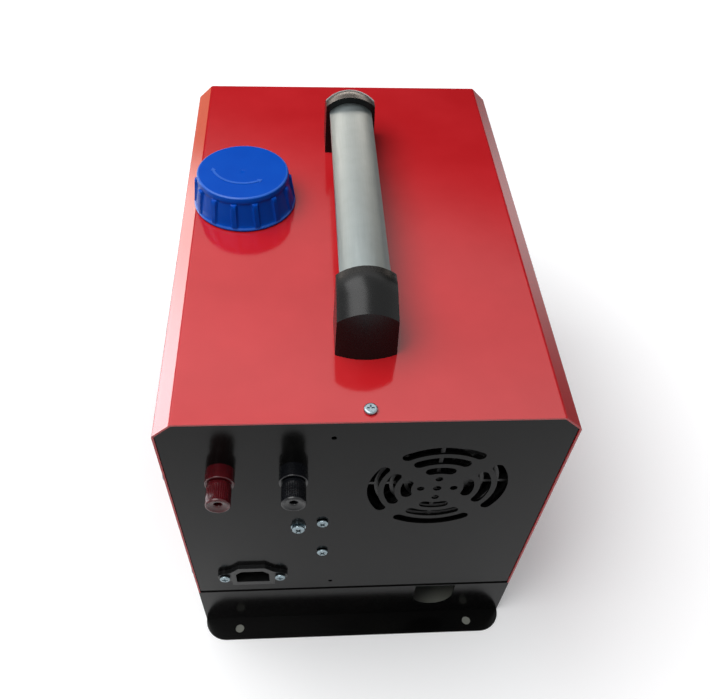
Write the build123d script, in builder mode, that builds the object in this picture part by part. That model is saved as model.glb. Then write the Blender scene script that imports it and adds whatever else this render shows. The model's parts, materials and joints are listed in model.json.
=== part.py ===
"""A portable diesel air heater in a sheet-metal case, in millimetres.

The origin is on the floor, midway between the four foot holes. +Z is up, +X runs along the
rear panel from the terminals to the air grille, and +Y runs from the rear panel to the front.
"""

from math import asin, cos, degrees, pi, radians, sin, tan

from build123d import *
import os

os.makedirs("parts", exist_ok=True)

# --- Case: sheet-metal base, cover and end panels ---
case_width = 240.0
case_depth = 350.0
case_height = 264.0  # floor to the top of the cover
deck_height = 52.0  # floor to the top of the base's deck
sheet = 1.2
corner_run = 11.5  # cut-off top corners, measured along X and along Z
corner_drop = 10.2
bend_radius = 3.0
panel_gap = 0.3  # between the cover and the end panels inside it
panel_recess = 0.8  # panels sit this far inside the cover's ends
panel_flange = 15.0
foot_reach = 18.0
foot_corner = 17.0
foot_hole_in = 27.0  # from the case's side
foot_hole_out = 9.0
foot_hole_radius = 3.5
notch_width = 31.0
notch_bottom = 15.3

# --- Screws ---
screw_shank = 1.9  # radius
screw_head = 3.9
screw_head_height = 2.3
screw_gap = 0.1  # radial, between a shank and its hole
screw_length = 8.0
head_rounding = 0.45  # of the head's height
recess_depth = 0.5  # of the head's height
recess_length = 1.1  # of the head's radius
recess_width = 0.26  # of the head's radius
cover_screw_inset = 7.9  # from the cover's end
side_screw_rise = 26.0  # lower side screws above the deck
side_screw_drop = 59.0  # upper side screws below the cover's top
earth_screw_out = 16.0  # from the bracket's screws, along X
earth_screw_rise = 68.0  # above the inlet's middle
earth_shank = 2.4
earth_head = 4.4
earth_head_height = 2.8
earth_length = 24.0
earth_washer = 5.0
earth_washer_thickness = 1.1
bracket_screw_in = 8.2  # from the supply's side
bracket_rise = 51.0  # above the deck
bracket_screw_spacing = 40.8
pilot_hole_out = 6.2  # from the bracket's screws, along X
pilot_hole_radius = 1.6
pilot_hole_top_gap = 15.6
pilot_hole_deck_gap = 12.5

# --- Carrying handle ---
handle_rear_gap = 45.0  # from the toe of an end piece to the case's end
handle_front_gap = 63.0
handle_rise = 43.3  # end pieces above the cover
end_width = 36.5  # at the cover
end_top_width = 34.4
end_reach = 32.0  # from the grip to the toe of the end piece
end_lean = 5.0  # the toe leans in by this much over the full rise
end_flat = 11.5
end_slope_run = 17.0
end_slope_drop = 10.4
end_bend_radius = 24.0
end_bulge = 4.2  # of the outer side, at the cover
end_top_bulge = 0.5
arch_radius = 25.4
crown_overrun = 2.0  # the crown's cut starts this far inside the grip's end
tube_width = 30.0
tube_height = 16.0
tube_arc_rise = 6.5
tube_edge_radius = 1.4
tube_wall = 1.2
tube_insert = 14.0
tube_drop = 4.1  # from the top of the end pieces to the top of the tube
tube_gap = 0.1
handle_screw_spacing = 20.0
handle_screw_out = 18.0  # from the grip's end

# --- Fuel tank, neck and cap ---
filler_in = 41.1  # from the tank's side
filler_start = 195.9  # from the case's rear end
tank_wall = 2.5
tank_corner = 10.0
tank_top_edge = 6.0
tank_side_gap = 3.5  # to the cover's side
tank_front_gap = 29.0  # to the front panel's face
tank_rear_gap = 19.4  # to the power supply
tank_core_gap = 7.3
tank_top_gap = 10.0  # to the cover's top
neck_radius = 26.5
neck_bore = 22.0
nipple_radius = 3.0
nipple_bore = 1.5
nipple_length = 14.0
nipple_in = 15.2  # from the tank's front
gasket_width = 4.0
neck_hole_gap = 1.0
cap_height = 23.5  # above the cover
cap_radius = 31.1
cap_flare_radius = 34.9
cap_flare_height = 4.4
cap_lip = 1.2
cap_roof = 3.0
cap_edge = 2.6
cap_lift_gap = 0.5
cap_rib_count = 14
cap_rib_width = 3.7
cap_rib_height = 1.7
cap_rib_corner = 0.7
cap_rib_top_gap = 4.4
cap_rib_turn = 3.6  # of the first rib round from the +X side, in degrees
thread_gap = 0.4
seal_thickness = 2.0
seat_gap = 0.3

# --- Terminal posts ---
post_in = 55.0  # from the case's side to midway between the posts
post_spacing = 43.0
post_drop = 47.0  # below the cover's top
post_collar_radius = 8.65
post_collar_length = 9.3
post_collar_edge = 0.55
post_spigot_radius = 5.0
post_spigot_gap = 0.2
post_cap_radius = 7.3
post_cap_length = 14.4
post_cap_edge = 1.1
post_stud_radius = 2.5
post_stud_out = 17.0  # from the panel's face
post_stud_in = 22.0
post_thread_gap = 0.3
post_socket_radius = 2.05
post_washer_radius = 5.6
post_washer_thickness = 1.0
post_nut_width = 8.0
post_nut_thickness = 4.0
post_insulator_radius = 7.5
post_insulator_thickness = 2.0

# --- Mains inlet ---
inlet_in = 43.0  # from the case's side
inlet_rise = 30.0  # above the deck
inlet_screw_spacing = 40.0
inlet_flange_thickness = 3.2
inlet_ear_radius = 5.4
inlet_face_width = 31.0
inlet_face_height = 26.0
inlet_face_cut = 6.0
inlet_body_width = 27.0
inlet_body_height = 20.0
inlet_body_depth = 19.0
inlet_cavity_width = 24.0
inlet_cavity_height = 16.2
inlet_cavity_cut = 4.2
inlet_cavity_depth = 16.0
pin_width = 2.0
pin_height = 4.0
pin_spacing = 14.0
pin_earth_rise = 3.6
pin_length = 10.4  # inside the cavity
pin_tab_length = 8.0

# --- Heater core, its axis along Y behind the grille ---
heater_drop = 71.2  # axis below the cover's top
grille_slot_width = 6.7
grille_ring_radii = (19.8, 30.3, 40.7)
grille_rib_width = 11.5
grille_centre_hole = 2.6
grille_small_hole = 2.35
grille_small_radius = 10.4
core_width = 115.0
core_height = 122.0
core_side_gap = 17.2  # to the case's side
core_corner = 26.0
core_wall = 2.5
core_rear_gap = 9.0  # from the rear panel's face
core_front_gap = 33.4  # to the front panel's face
core_inlet_radius = 46.0
core_outlet_radius = 38.5
guard_radius = 50.0
guard_thickness = 4.0
guard_bar = 2.4
guard_ring_pitch = 9.5
guard_ring_count = 4
guard_spokes = 8
guard_overlap = 1.0  # of a spoke into the guard's outer ring
impeller_start = 4.2  # from the core's rear end
impeller_length = 18.0
impeller_radius = 41.0
impeller_hub = 12.0
impeller_blades = 14
impeller_tilt = 38.0
blade_thickness = 1.8
motor_start = 25.2
motor_length = 40.0
motor_radius = 30.0
motor_flange_radius = 34.0
motor_flange_thickness = 3.0
shaft_radius = 3.0
shaft_gap = 0.05
shaft_hole_gap = 2.0
shaft_length = 82.0
chamber_side_gap = 17.5  # from the drum's outside to the core's side
chamber_front_gap = 30.8  # from the drum's end to the core's
chamber_wall = 4.0
fin_count = 24
fin_start = 64.0  # from the drum's rear end
fin_end_gap = 10.0
fin_height = 9.0
fin_thickness = 1.8
pad_width = 62.0
pad_length = 62.0
pad_thickness = 8.0
pad_gap = 0.3
duct_offset = 17.0  # each duct from the core's middle, along X
exhaust_start = 48.0  # from the drum's rear end
intake_start = 18.0
duct_radius = 11.0
duct_bore = 9.0
duct_length = 20.0  # below the pad
fuel_port_start = 40.0
fuel_port_radius = 4.0
fuel_port_length = 14.0
fuel_port_socket = 8.0
combustion_start = 8.0  # from the drum's rear end
combustion_length = 12.0
combustion_radius = 27.0
combustion_hub = 8.0
combustion_disc = 1.5
combustion_blades = 10
combustion_blade = 1.4
burner_start = 32.0
burner_length = 96.0
burner_radius = 29.0
burner_wall = 1.5
burner_flange = 3.0
burner_mouth = 12.0
burner_hole_radius = 2.5
burner_hole_count = 12
plug_start = 50.0  # from the drum's rear end
plug_radius = 4.0
plug_hex_width = 12.0
plug_hex_height = 6.0
plug_terminal_radius = 2.0
plug_terminal_length = 5.0
plug_inset = 2.0  # from the burner's outside to the plug's tip
plug_gap = 0.3
unit_width = 58.0
unit_length = 78.0
unit_gap = 3.5  # to the drum
unit_start = 48.0  # from the core's rear end

# --- Stand, pipes and fuel line ---
stand_inset = 5.5  # from the core's sides
stand_rear_gap = 40.2  # from the core's rear end
stand_front_gap = 95.8  # from the core's front end
stand_sheet = 1.5
stand_foot = 10.0
stand_hole_gap = 1.5
pipe_wall = 1.0
pipe_hole_gap = 1.5
pipe_end_height = 24.0
pipe_top_gap = 4.0  # below the stand's top plate
pipe_spigot = 22.0  # from the pipe's end to the bead that stops a hose
bead_height = 0.9
bead_width = 2.0
clamp_width = 9.0
clamp_thickness = 1.2
clamp_drop = 5.0  # below the pipe's top
clamp_lug = 7.0
hose_radius = 4.6
hose_overlap = 9.0
line_radius = 2.4
line_rise = 18.0  # of the nipples, the filter and the pump above the deck
filter_offset = 33.3  # from the core's middle, along X
filter_nipple_gap = 22.0  # from the filter's fitting to the tank's nipple, along Y
filter_length = 46.0
filter_radius = 12.5
filter_edge = 3.0
fitting_length = 10.0
pump_offset = 30.7  # from the core's middle, along X
pump_turn_gap = 36.0  # from the hose's turn to the pump's body
pump_length = 62.0
pump_radius = 13.5
pump_neck_radius = 6.5
pump_neck_length = 10.0
pump_socket = 8.0
pump_clamp_width = 18.0
pump_clamp_thickness = 3.0
pump_foot_width = 46.0
hose_turn_gap = 46.0  # from the exhaust's middle
hose_bend = 16.0
line_turn_gap = 22.0  # from the pump's end
line_drop = 14.0  # of its level run below the socket's end
line_bend = 12.0

# --- Power supply and leads ---
supply_core_gap = 5.8
supply_depth = 42.0
supply_side_gap = 4.0  # to the case's side
supply_start = 40.0  # from the rear panel's face
supply_slots = 8
supply_slot_in = 10.5  # from the supply's side
supply_slot_width = 3.0
supply_slot_height = 60.0
supply_slot_depth = 0.6
strip_inset = 7.0
strip_depth = 12.0
strip_height = 10.0
bracket_width = 20.0
bracket_height = 62.0
bracket_sheet = 1.5
bracket_overlap = 30.0
lead_radius = 1.3
lead_bend = 3.0
lead_spacing = 12.0
lead_inner_gap = 4.0  # from the tank's side to the nearer run of leads
lead_outer_gap = 8.5
lead_near_gap = 5.3  # from the supply's faces to the crossing runs
lead_far_gap = 9.8
lead_front_inner = 11.8  # from the tank's front end
lead_front_outer = 16.3

# --- Front end: outlet, controller and mains switch ---
outlet_radius = 37.5
outlet_wall = 2.0
outlet_rim = 9.0
outlet_rim_thickness = 3.0
outlet_stop = 2.4
louvre_gap = 0.3
louvre_depth = 14.0
louvre_ring = 2.4
louvre_count = 5
louvre_pitch = 13.2
louvre_blade = 1.6
louvre_tilt = 35.0
cutout_gap = 0.25  # round a body in its panel's opening
controller_in = 12.0  # from the case's side
controller_outlet_gap = 14.8
controller_drop = 86.0  # below the cover's top
controller_height = 58.0
controller_corner = 6.0
controller_bezel = 3.0
controller_edge = 1.0
controller_lip = 4.0
controller_body_depth = 22.0
lcd_height = 28.0
lcd_in = 9.0  # from the controller's side
lcd_knob_gap = 11.0
lcd_up = 6.0
lcd_thickness = 1.6
knob_in = 6.0  # from the controller's side
knob_radius = 10.0
knob_height = 11.0
knob_edge = 1.0
knob_flutes = 18
knob_flute_radius = 0.9
knob_flute_start = 0.6  # from the knob's base
knob_pointer = 5.0
knob_shaft_length = 8.0
button_radius = 4.2
button_gap = 0.3
button_proud = 1.4
button_length = 5.2
button_travel = 1.0
button_edge = 0.45
button_spacing = 22.0
button_down = 18.0
switch_rise = 36.0  # above the deck
switch_width = 30.0
switch_height = 29.0
switch_bezel = 2.0
switch_edge = 0.7
switch_body_width = 27.0
switch_body_height = 26.0
switch_body_depth = 22.0
rocker_width = 17.0
rocker_radius = 10.5
rocker_gap = 0.3
rocker_pivot_depth = 4.0  # behind the bezel's face
rocker_ridge = 7.0  # pivot to the rocker's ridge
rocker_base = 3.0  # pivot to the rocker's underside
rocker_well = 10.0
rocker_tilt = 10.0
rocker_pin = 1.5
rocker_pin_gap = 0.05
rocker_pin_length = 2.0

# --- Planes and places that several pieces share ---
rear_end = -case_depth / 2
front_end = case_depth / 2
rear_face = rear_end + panel_recess
front_face = front_end - panel_recess
rear_inside = rear_face + sheet
cover_underside = case_height - sheet
case_left = -case_width / 2
grip_length = case_depth - handle_rear_gap - handle_front_gap - 2 * end_reach
handle_y = rear_end + handle_rear_gap + end_reach + grip_length / 2
side_screw_heights = (deck_height + side_screw_rise, case_height - side_screw_drop)
heater_x = -case_left - core_side_gap - core_width / 2
heater_z = case_height - heater_drop
core_left = heater_x - core_width / 2
core_bottom = heater_z - core_height / 2
core_rear = rear_face + core_rear_gap
core_front = front_face - core_front_gap
core_length = core_front - core_rear
drum_rear = core_rear + motor_start + motor_length
exhaust_x = heater_x + duct_offset
exhaust_y = drum_rear + exhaust_start
intake_x = heater_x - duct_offset
intake_y = drum_rear + intake_start
fuel_port_y = drum_rear + fuel_port_start
duct_bottom = core_bottom - duct_length
tank_left = case_left + tank_side_gap
tank_right = core_left - tank_core_gap
filler_x = tank_left + filler_in
filler_y = rear_end + filler_start
supply_rear = rear_face + supply_start
supply_front = supply_rear + supply_depth
supply_right = core_left - supply_core_gap
post_z = case_height - post_drop
post_red_x = case_left + post_in - post_spacing / 2
post_black_x = case_left + post_in + post_spacing / 2
inlet_x = case_left + inlet_in
inlet_z = deck_height + inlet_rise
bracket_screw_x = supply_right - bracket_screw_in
earth_screw_x = bracket_screw_x - earth_screw_out
earth_screw_z = inlet_z + earth_screw_rise
bracket_bottom = deck_height + bracket_rise
bracket_screw_z = bracket_bottom + bracket_height / 2
controller_width = heater_x - outlet_radius - outlet_rim - controller_outlet_gap
controller_width -= case_left + controller_in
controller_x = case_left + controller_in + controller_width / 2
controller_z = case_height - controller_drop
controller_body_width = controller_width - 2 * controller_lip
controller_body_height = controller_height - 2 * controller_lip
switch_x = controller_x
switch_z = deck_height + switch_rise
filler_axis = Axis((filler_x, filler_y, 0), (0, 0, 1))


def rear_plane(y):
    """The upright plane at depth y that faces the rear, with X to the right and Z up."""
    return Plane.XZ.offset(-y)


def front_plane(y):
    """The upright plane at depth y that faces the front, with X to the left and Z up."""
    return Plane(origin=(0, y, 0), x_dir=(-1, 0, 0), z_dir=(0, 1, 0))


def export(name, builder):
    """Label a finished piece and write its file."""
    builder.part.label = name
    export_step(builder.part, f"parts/{name}.step")


# --- Case ---


def case_face(inset, floor, y):
    """The case's filled cross-section at depth y, drawn in by an inset, above a floor height."""
    half = case_width / 2
    shoulder = case_height - corner_drop
    with BuildSketch(rear_plane(y)) as face:
        with BuildLine():
            Polyline(
                (-half, 0),
                (-half, shoulder),
                (corner_run - half, case_height),
                (half - corner_run, case_height),
                (half, shoulder),
                (half, 0),
                close=True,
            )
        make_face()
        fillet(face.vertices().filter_by(lambda v: v.Y > shoulder - 1), bend_radius)
        if inset:
            offset(amount=-inset, mode=Mode.REPLACE)
        with Locations((0, floor / 2)):
            Rectangle(case_width, floor, mode=Mode.SUBTRACT)
    return face.sketch


side_screw_y = front_end - cover_screw_inset
handle_screw_y = grip_length / 2 + handle_screw_out

with BuildPart() as cover:
    extrude(case_face(0, deck_height, rear_end), amount=-case_depth)
    extrude(case_face(sheet, deck_height, rear_end), amount=-case_depth, mode=Mode.SUBTRACT)
    with BuildSketch(Plane.XY.offset(cover_underside)):
        with Locations((filler_x, filler_y)):
            Circle(neck_radius + neck_hole_gap)
        with Locations((0, -side_screw_y)):
            Circle(screw_shank + screw_gap)
        with Locations((0, handle_y)):
            with GridLocations(handle_screw_spacing, 2 * handle_screw_y, 2, 2):
                Circle(screw_shank + screw_gap)
    extrude(amount=sheet, mode=Mode.SUBTRACT)
    with BuildSketch(Plane.YZ):
        for height in side_screw_heights:
            with Locations((0, height)):
                with GridLocations(2 * side_screw_y, 0, 2, 1):
                    Circle(screw_shank + screw_gap)
    extrude(amount=case_width / 2, both=True, mode=Mode.SUBTRACT)
export("cover", cover)

with BuildPart() as base_tray:
    with BuildSketch():
        Rectangle(case_width, case_depth)
    extrude(amount=deck_height)
    with BuildSketch():
        Rectangle(case_width - 2 * sheet, case_depth - 2 * sheet)
    extrude(amount=deck_height - sheet, mode=Mode.SUBTRACT)
    with BuildSketch() as feet:
        Rectangle(case_width, case_depth + 2 * foot_reach)
        fillet(feet.vertices(), foot_corner)
        Rectangle(case_width, case_depth - 2 * sheet, mode=Mode.SUBTRACT)
        with GridLocations(case_width - 2 * foot_hole_in, case_depth + 2 * foot_hole_out, 2, 2):
            Circle(foot_hole_radius, mode=Mode.SUBTRACT)
    extrude(amount=sheet)
    with BuildSketch(rear_plane(rear_end)):
        with Locations((exhaust_x, notch_bottom + notch_width / 2)):
            Circle(notch_width / 2)
        with Locations((exhaust_x, deck_height - sheet)):
            Rectangle(
                notch_width,
                deck_height - sheet - notch_bottom - notch_width / 2,
                align=(Align.CENTER, Align.MAX),
            )
    extrude(amount=-sheet, mode=Mode.SUBTRACT)
    with BuildSketch(Plane.XY.offset(deck_height)):
        with Locations((exhaust_x, exhaust_y), (intake_x, intake_y)):
            Circle(duct_radius + pipe_wall + pipe_hole_gap)
    extrude(amount=-sheet, mode=Mode.SUBTRACT)
export("base_tray", base_tray)


def panel_pan(face_y, inward):
    """A flanged end panel: its face plate, with flanges folded inward from all its edges."""
    with BuildPart() as pan:
        outside = case_face(sheet + panel_gap, deck_height, face_y)
        inside = case_face(2 * sheet + panel_gap, deck_height + sheet, face_y + inward * sheet)
        extrude(outside, amount=-inward * panel_flange)
        extrude(inside, amount=-inward * panel_flange, mode=Mode.SUBTRACT)
        with BuildSketch(Plane.YZ):
            for height in side_screw_heights:
                with Locations((face_y + inward * (cover_screw_inset - panel_recess), height)):
                    Circle(screw_shank + screw_gap)
        extrude(amount=case_width / 2, both=True, mode=Mode.SUBTRACT)
    return pan.part


with BuildPart() as rear_panel:
    add(panel_pan(rear_face, 1))
    with BuildSketch(Plane.XY.offset(deck_height)):
        with Locations((0, -side_screw_y)):
            Circle(screw_shank + screw_gap)
    extrude(amount=case_height, mode=Mode.SUBTRACT)
    with BuildSketch(rear_plane(rear_face)):
        with Locations((heater_x, heater_z)):
            Circle(grille_centre_hole)
            with PolarLocations(grille_small_radius, 4):
                Circle(grille_small_hole)
        with Locations((post_red_x, post_z), (post_black_x, post_z)):
            Circle(post_spigot_radius + post_spigot_gap)
        with Locations((inlet_x, inlet_z)):
            Rectangle(inlet_body_width + 2 * cutout_gap, inlet_body_height + 2 * cutout_gap)
            with GridLocations(inlet_screw_spacing, 0, 2, 1):
                Circle(screw_shank + screw_gap)
        with Locations((bracket_screw_x, bracket_screw_z)):
            with GridLocations(0, bracket_screw_spacing, 1, 2):
                Circle(screw_shank + screw_gap)
        with Locations((earth_screw_x, earth_screw_z)):
            Circle(earth_shank + screw_gap)
        with Locations(
            (bracket_screw_x + pilot_hole_out, case_height - pilot_hole_top_gap),
            (bracket_screw_x + pilot_hole_out, deck_height + pilot_hole_deck_gap),
        ):
            Circle(pilot_hole_radius)
    extrude(amount=-sheet, mode=Mode.SUBTRACT)
    for radius in grille_ring_radii:
        end_angle = degrees(asin((grille_rib_width + grille_slot_width) / 2 / radius))
        slot_line = CenterArc((0, 0), radius, 45 + end_angle, 90 - 2 * end_angle)
        with BuildSketch(rear_plane(rear_face)):
            with Locations((heater_x, heater_z)):
                for quarter in range(4):
                    SlotArc(slot_line, grille_slot_width, rotation=90 * quarter)
        extrude(amount=-sheet, mode=Mode.SUBTRACT)
export("rear_panel", rear_panel)

with BuildPart() as front_panel:
    add(panel_pan(front_face, -1))
    with BuildSketch(front_plane(front_face)):
        with Locations((-heater_x, heater_z)):
            Circle(outlet_radius + outlet_wall + cutout_gap)
        with Locations((-controller_x, controller_z)):
            Rectangle(
                controller_body_width + 2 * cutout_gap,
                controller_body_height + 2 * cutout_gap,
            )
        with Locations((-switch_x, switch_z)):
            Rectangle(
                switch_body_width + 2 * cutout_gap, switch_body_height + 2 * cutout_gap
            )
    extrude(amount=-sheet, mode=Mode.SUBTRACT)
export("front_panel", front_panel)

# --- Screws ---


def pan_screw(seat, shank, head, head_height, length):
    """A pan-head screw with a cross recess: its head sits on the plane and its shank goes below."""
    with BuildPart(seat) as screw:
        Cylinder(head, head_height, align=(Align.CENTER, Align.CENTER, Align.MIN))
        fillet(screw.edges().filter_by(GeomType.CIRCLE), head_height * head_rounding)
        Cylinder(shank, length, align=(Align.CENTER, Align.CENTER, Align.MAX))
    body = screw.part
    with BuildPart() as slotted:
        add(body)
        with BuildSketch(seat.offset(head_height)):
            Rectangle(head * recess_length, head * recess_width)
            Rectangle(head * recess_width, head * recess_length)
        extrude(amount=-head_height * recess_depth, mode=Mode.SUBTRACT)
    return slotted.part


def case_screw(seat):
    """One of the case's own screws, seated on a plane."""
    return pan_screw(seat, screw_shank, screw_head, screw_head_height, screw_length)


with BuildPart() as cover_screws:
    add(case_screw(Plane(origin=(0, -side_screw_y, case_height), z_dir=(0, 0, 1))))
    for end in (-1, 1):
        for side in (-1, 1):
            for height in side_screw_heights:
                place = (side * case_width / 2, end * side_screw_y, height)
                add(case_screw(Plane(origin=place, x_dir=(0, 1, 0), z_dir=(side, 0, 0))))
export("cover_screws", cover_screws)

with BuildPart() as panel_screws:
    for offset_x in (-inlet_screw_spacing / 2, inlet_screw_spacing / 2):
        place = (inlet_x + offset_x, rear_face - inlet_flange_thickness, inlet_z)
        add(case_screw(Plane(origin=place, x_dir=(1, 0, 0), z_dir=(0, -1, 0))))
    for offset_z in (-bracket_screw_spacing / 2, bracket_screw_spacing / 2):
        place = (bracket_screw_x, rear_face, bracket_screw_z + offset_z)
        add(case_screw(Plane(origin=place, x_dir=(1, 0, 1), z_dir=(0, -1, 0))))
export("panel_screws", panel_screws)

with BuildPart() as handle_screws:
    for end in (-1, 1):
        for offset_x in (-handle_screw_spacing / 2, handle_screw_spacing / 2):
            place = (offset_x, handle_y + end * handle_screw_y, cover_underside)
            add(case_screw(Plane(origin=place, x_dir=(1, 0, 0), z_dir=(0, 0, -1))))
export("handle_screws", handle_screws)

with BuildPart() as earth_screw:
    earth_place = (earth_screw_x, rear_face - earth_washer_thickness, earth_screw_z)
    earth_seat = Plane(origin=earth_place, x_dir=(1, 0, -1), z_dir=(0, -1, 0))
    add(pan_screw(earth_seat, earth_shank, earth_head, earth_head_height, earth_length))
    with BuildSketch(rear_plane(rear_face)):
        with Locations((earth_screw_x, earth_screw_z)):
            Circle(earth_washer)
            Circle(earth_shank, mode=Mode.SUBTRACT)
    extrude(amount=earth_washer_thickness)
    with BuildSketch(rear_plane(rear_inside)):
        with Locations((earth_screw_x, earth_screw_z)):
            RegularPolygon(earth_washer, 6)
            Circle(earth_shank, mode=Mode.SUBTRACT)
    extrude(amount=-post_nut_thickness)
export("earth_screw", earth_screw)

# --- Carrying handle ---

grip_end = handle_y + grip_length / 2
toe = grip_end + end_reach
handle_top = case_height + handle_rise


def end_outline(width, bulge, tip, height):
    """The end piece's plan at a height: square to the grip, with a bulging outer side."""
    with BuildSketch(Plane.XY.offset(height)) as outline:
        with BuildLine():
            Polyline(
                (width / 2, tip - bulge),
                (width / 2, grip_end),
                (-width / 2, grip_end),
                (-width / 2, tip - bulge),
            )
            ThreePointArc((-width / 2, tip - bulge), (0, tip), (width / 2, tip - bulge))
        make_face()
    return outline.sketch


def tube_face(inset, y):
    """The handle tube's oval section at depth y, drawn in by an inset."""
    centre_z = handle_top - tube_drop - tube_height / 2
    shoulder = tube_height / 2 - tube_arc_rise
    with BuildSketch(rear_plane(y)) as oval:
        with BuildLine():
            Line((-tube_width / 2, centre_z - shoulder), (-tube_width / 2, centre_z + shoulder))
            ThreePointArc(
                (-tube_width / 2, centre_z + shoulder),
                (0, centre_z + tube_height / 2),
                (tube_width / 2, centre_z + shoulder),
            )
            Line((tube_width / 2, centre_z + shoulder), (tube_width / 2, centre_z - shoulder))
            ThreePointArc(
                (tube_width / 2, centre_z - shoulder),
                (0, centre_z - tube_height / 2),
                (-tube_width / 2, centre_z - shoulder),
            )
        make_face()
        fillet(oval.vertices(), tube_edge_radius)
        if inset:
            offset(amount=-inset, mode=Mode.REPLACE)
    return oval.sketch


with BuildPart() as handle_end_front:
    foot_outline = end_outline(end_width, end_bulge, toe, case_height)
    top_outline = end_outline(end_top_width, end_top_bulge, toe - end_lean, handle_top)
    loft([foot_outline, top_outline])
    with BuildLine(Plane.YZ) as crown:
        FilletPolyline(
            (grip_end - crown_overrun, handle_top),
            (grip_end + end_flat, handle_top),
            (grip_end + end_flat + 2 * end_slope_run, handle_top - 2 * end_slope_drop),
            radius=end_bend_radius,
        )
    with BuildSketch(rear_plane(grip_end - crown_overrun)) as above:
        with Locations((0, handle_top)):
            Rectangle(2 * end_width, handle_rise)
        with Locations((0, handle_top - arch_radius)):
            Circle(arch_radius, mode=Mode.SUBTRACT)
            Rectangle(2 * end_width, arch_radius, mode=Mode.SUBTRACT)
    sweep(sections=above.sketch, path=crown.wire(), mode=Mode.SUBTRACT)
    extrude(tube_face(-tube_gap, grip_end), amount=-tube_insert, mode=Mode.SUBTRACT)
    with BuildSketch(Plane.XY.offset(case_height)):
        with Locations((0, handle_y + handle_screw_y)):
            with GridLocations(handle_screw_spacing, 0, 2, 1):
                Circle(screw_shank + screw_gap)
    extrude(amount=screw_length, mode=Mode.SUBTRACT)
export("handle_end_front", handle_end_front)

with BuildPart() as handle_end_rear:
    mirror(handle_end_front.part, about=Plane.XZ.offset(-handle_y))
export("handle_end_rear", handle_end_rear)

with BuildPart() as handle_tube:
    tube_start = handle_y - grip_length / 2 - tube_insert
    tube_length = grip_length + 2 * tube_insert
    extrude(tube_face(0, tube_start), amount=-tube_length)
    extrude(tube_face(tube_wall, tube_start), amount=-tube_length, mode=Mode.SUBTRACT)
export("handle_tube", handle_tube)

# --- Fuel tank, neck and cap ---

cap_top = case_height + cap_height
cap_bottom = case_height + cap_lift_gap
neck_top = cap_top - cap_roof - seal_thickness - 2 * seat_gap
tank_front = front_face - tank_front_gap
tank_top = case_height - tank_top_gap
tank_width = tank_right - tank_left
tank_length = tank_front - tank_rear_gap - supply_front
tank_height = tank_top - deck_height
tank_nipple_y = tank_front - nipple_in
line_height = deck_height + line_rise

with BuildPart() as fuel_tank:
    with BuildSketch(Plane.XY.offset(deck_height)):
        with Locations((tank_left, tank_front)):
            RectangleRounded(tank_width, tank_length, tank_corner, align=(Align.MIN, Align.MAX))
    extrude(amount=tank_height)
    fillet(fuel_tank.faces().sort_by(Axis.Z)[-1].edges(), tank_top_edge)
    with BuildSketch(Plane.XY.offset(tank_top)):
        with Locations((filler_x, filler_y)):
            Circle(neck_radius)
    extrude(amount=neck_top - tank_top)
    with BuildSketch(Plane.XY.offset(deck_height + tank_wall)):
        with Locations((tank_left + tank_wall, tank_front - tank_wall)):
            RectangleRounded(
                tank_width - 2 * tank_wall,
                tank_length - 2 * tank_wall,
                tank_corner - tank_wall,
                align=(Align.MIN, Align.MAX),
            )
    extrude(amount=tank_height - 2 * tank_wall, mode=Mode.SUBTRACT)
    with BuildSketch(Plane.XY.offset(neck_top)):
        with Locations((filler_x, filler_y)):
            Circle(neck_bore)
    extrude(amount=tank_top - tank_wall - neck_top, mode=Mode.SUBTRACT)
    with BuildSketch(Plane.YZ.offset(tank_right - tank_wall)):
        with Locations((tank_nipple_y, line_height)):
            Circle(nipple_radius)
    extrude(amount=tank_wall + nipple_length)
    with BuildSketch(Plane.YZ.offset(tank_right - 2 * tank_wall)):
        with Locations((tank_nipple_y, line_height)):
            Circle(nipple_bore)
    extrude(amount=2 * tank_wall + nipple_length, mode=Mode.SUBTRACT)
export("fuel_tank", fuel_tank)

with BuildPart() as neck_gasket:
    with BuildSketch(Plane.XY.offset(tank_top)):
        with Locations((filler_x, filler_y)):
            Circle(neck_radius + neck_hole_gap + gasket_width)
            Circle(neck_radius, mode=Mode.SUBTRACT)
    extrude(amount=cover_underside - tank_top)
export("neck_gasket", neck_gasket)

with BuildPart() as cap_seal:
    with BuildSketch(Plane.XY.offset(neck_top + seat_gap)):
        with Locations((filler_x, filler_y)):
            Circle(neck_radius)
            Circle(neck_bore, mode=Mode.SUBTRACT)
    extrude(amount=seal_thickness)
export("cap_seal", cap_seal)

with BuildPart() as fuel_cap:
    with BuildSketch(rear_plane(filler_y)):
        with BuildLine():
            Polyline(
                (filler_x, cap_top - cap_roof),
                (filler_x, cap_top),
                (filler_x + cap_radius - cap_edge, cap_top),
            )
            RadiusArc(
                (filler_x + cap_radius - cap_edge, cap_top),
                (filler_x + cap_radius, cap_top - cap_edge),
                cap_edge,
            )
            Line(
                (filler_x + cap_radius, cap_top - cap_edge),
                (filler_x + cap_radius, cap_bottom + cap_flare_height),
            )
            TangentArc(
                (filler_x + cap_radius, cap_bottom + cap_flare_height),
                (filler_x + cap_flare_radius, cap_bottom + cap_lip),
                tangent=(0, -1),
            )
            Polyline(
                (filler_x + cap_flare_radius, cap_bottom + cap_lip),
                (filler_x + cap_flare_radius, cap_bottom),
                (filler_x + neck_radius + thread_gap, cap_bottom),
                (filler_x + neck_radius + thread_gap, cap_top - cap_roof),
                (filler_x, cap_top - cap_roof),
            )
        make_face()
    revolve(axis=filler_axis)
    with BuildSketch(Plane.XY.offset(cap_bottom + cap_lip)):
        with Locations((filler_x, filler_y)):
            with PolarLocations(cap_radius, cap_rib_count, cap_rib_turn):
                RectangleRounded(2 * cap_rib_height, cap_rib_width, cap_rib_corner)
    extrude(amount=cap_top - cap_rib_top_gap - cap_bottom - cap_lip)
export("fuel_cap", fuel_cap)

# --- Terminal posts ---


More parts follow.
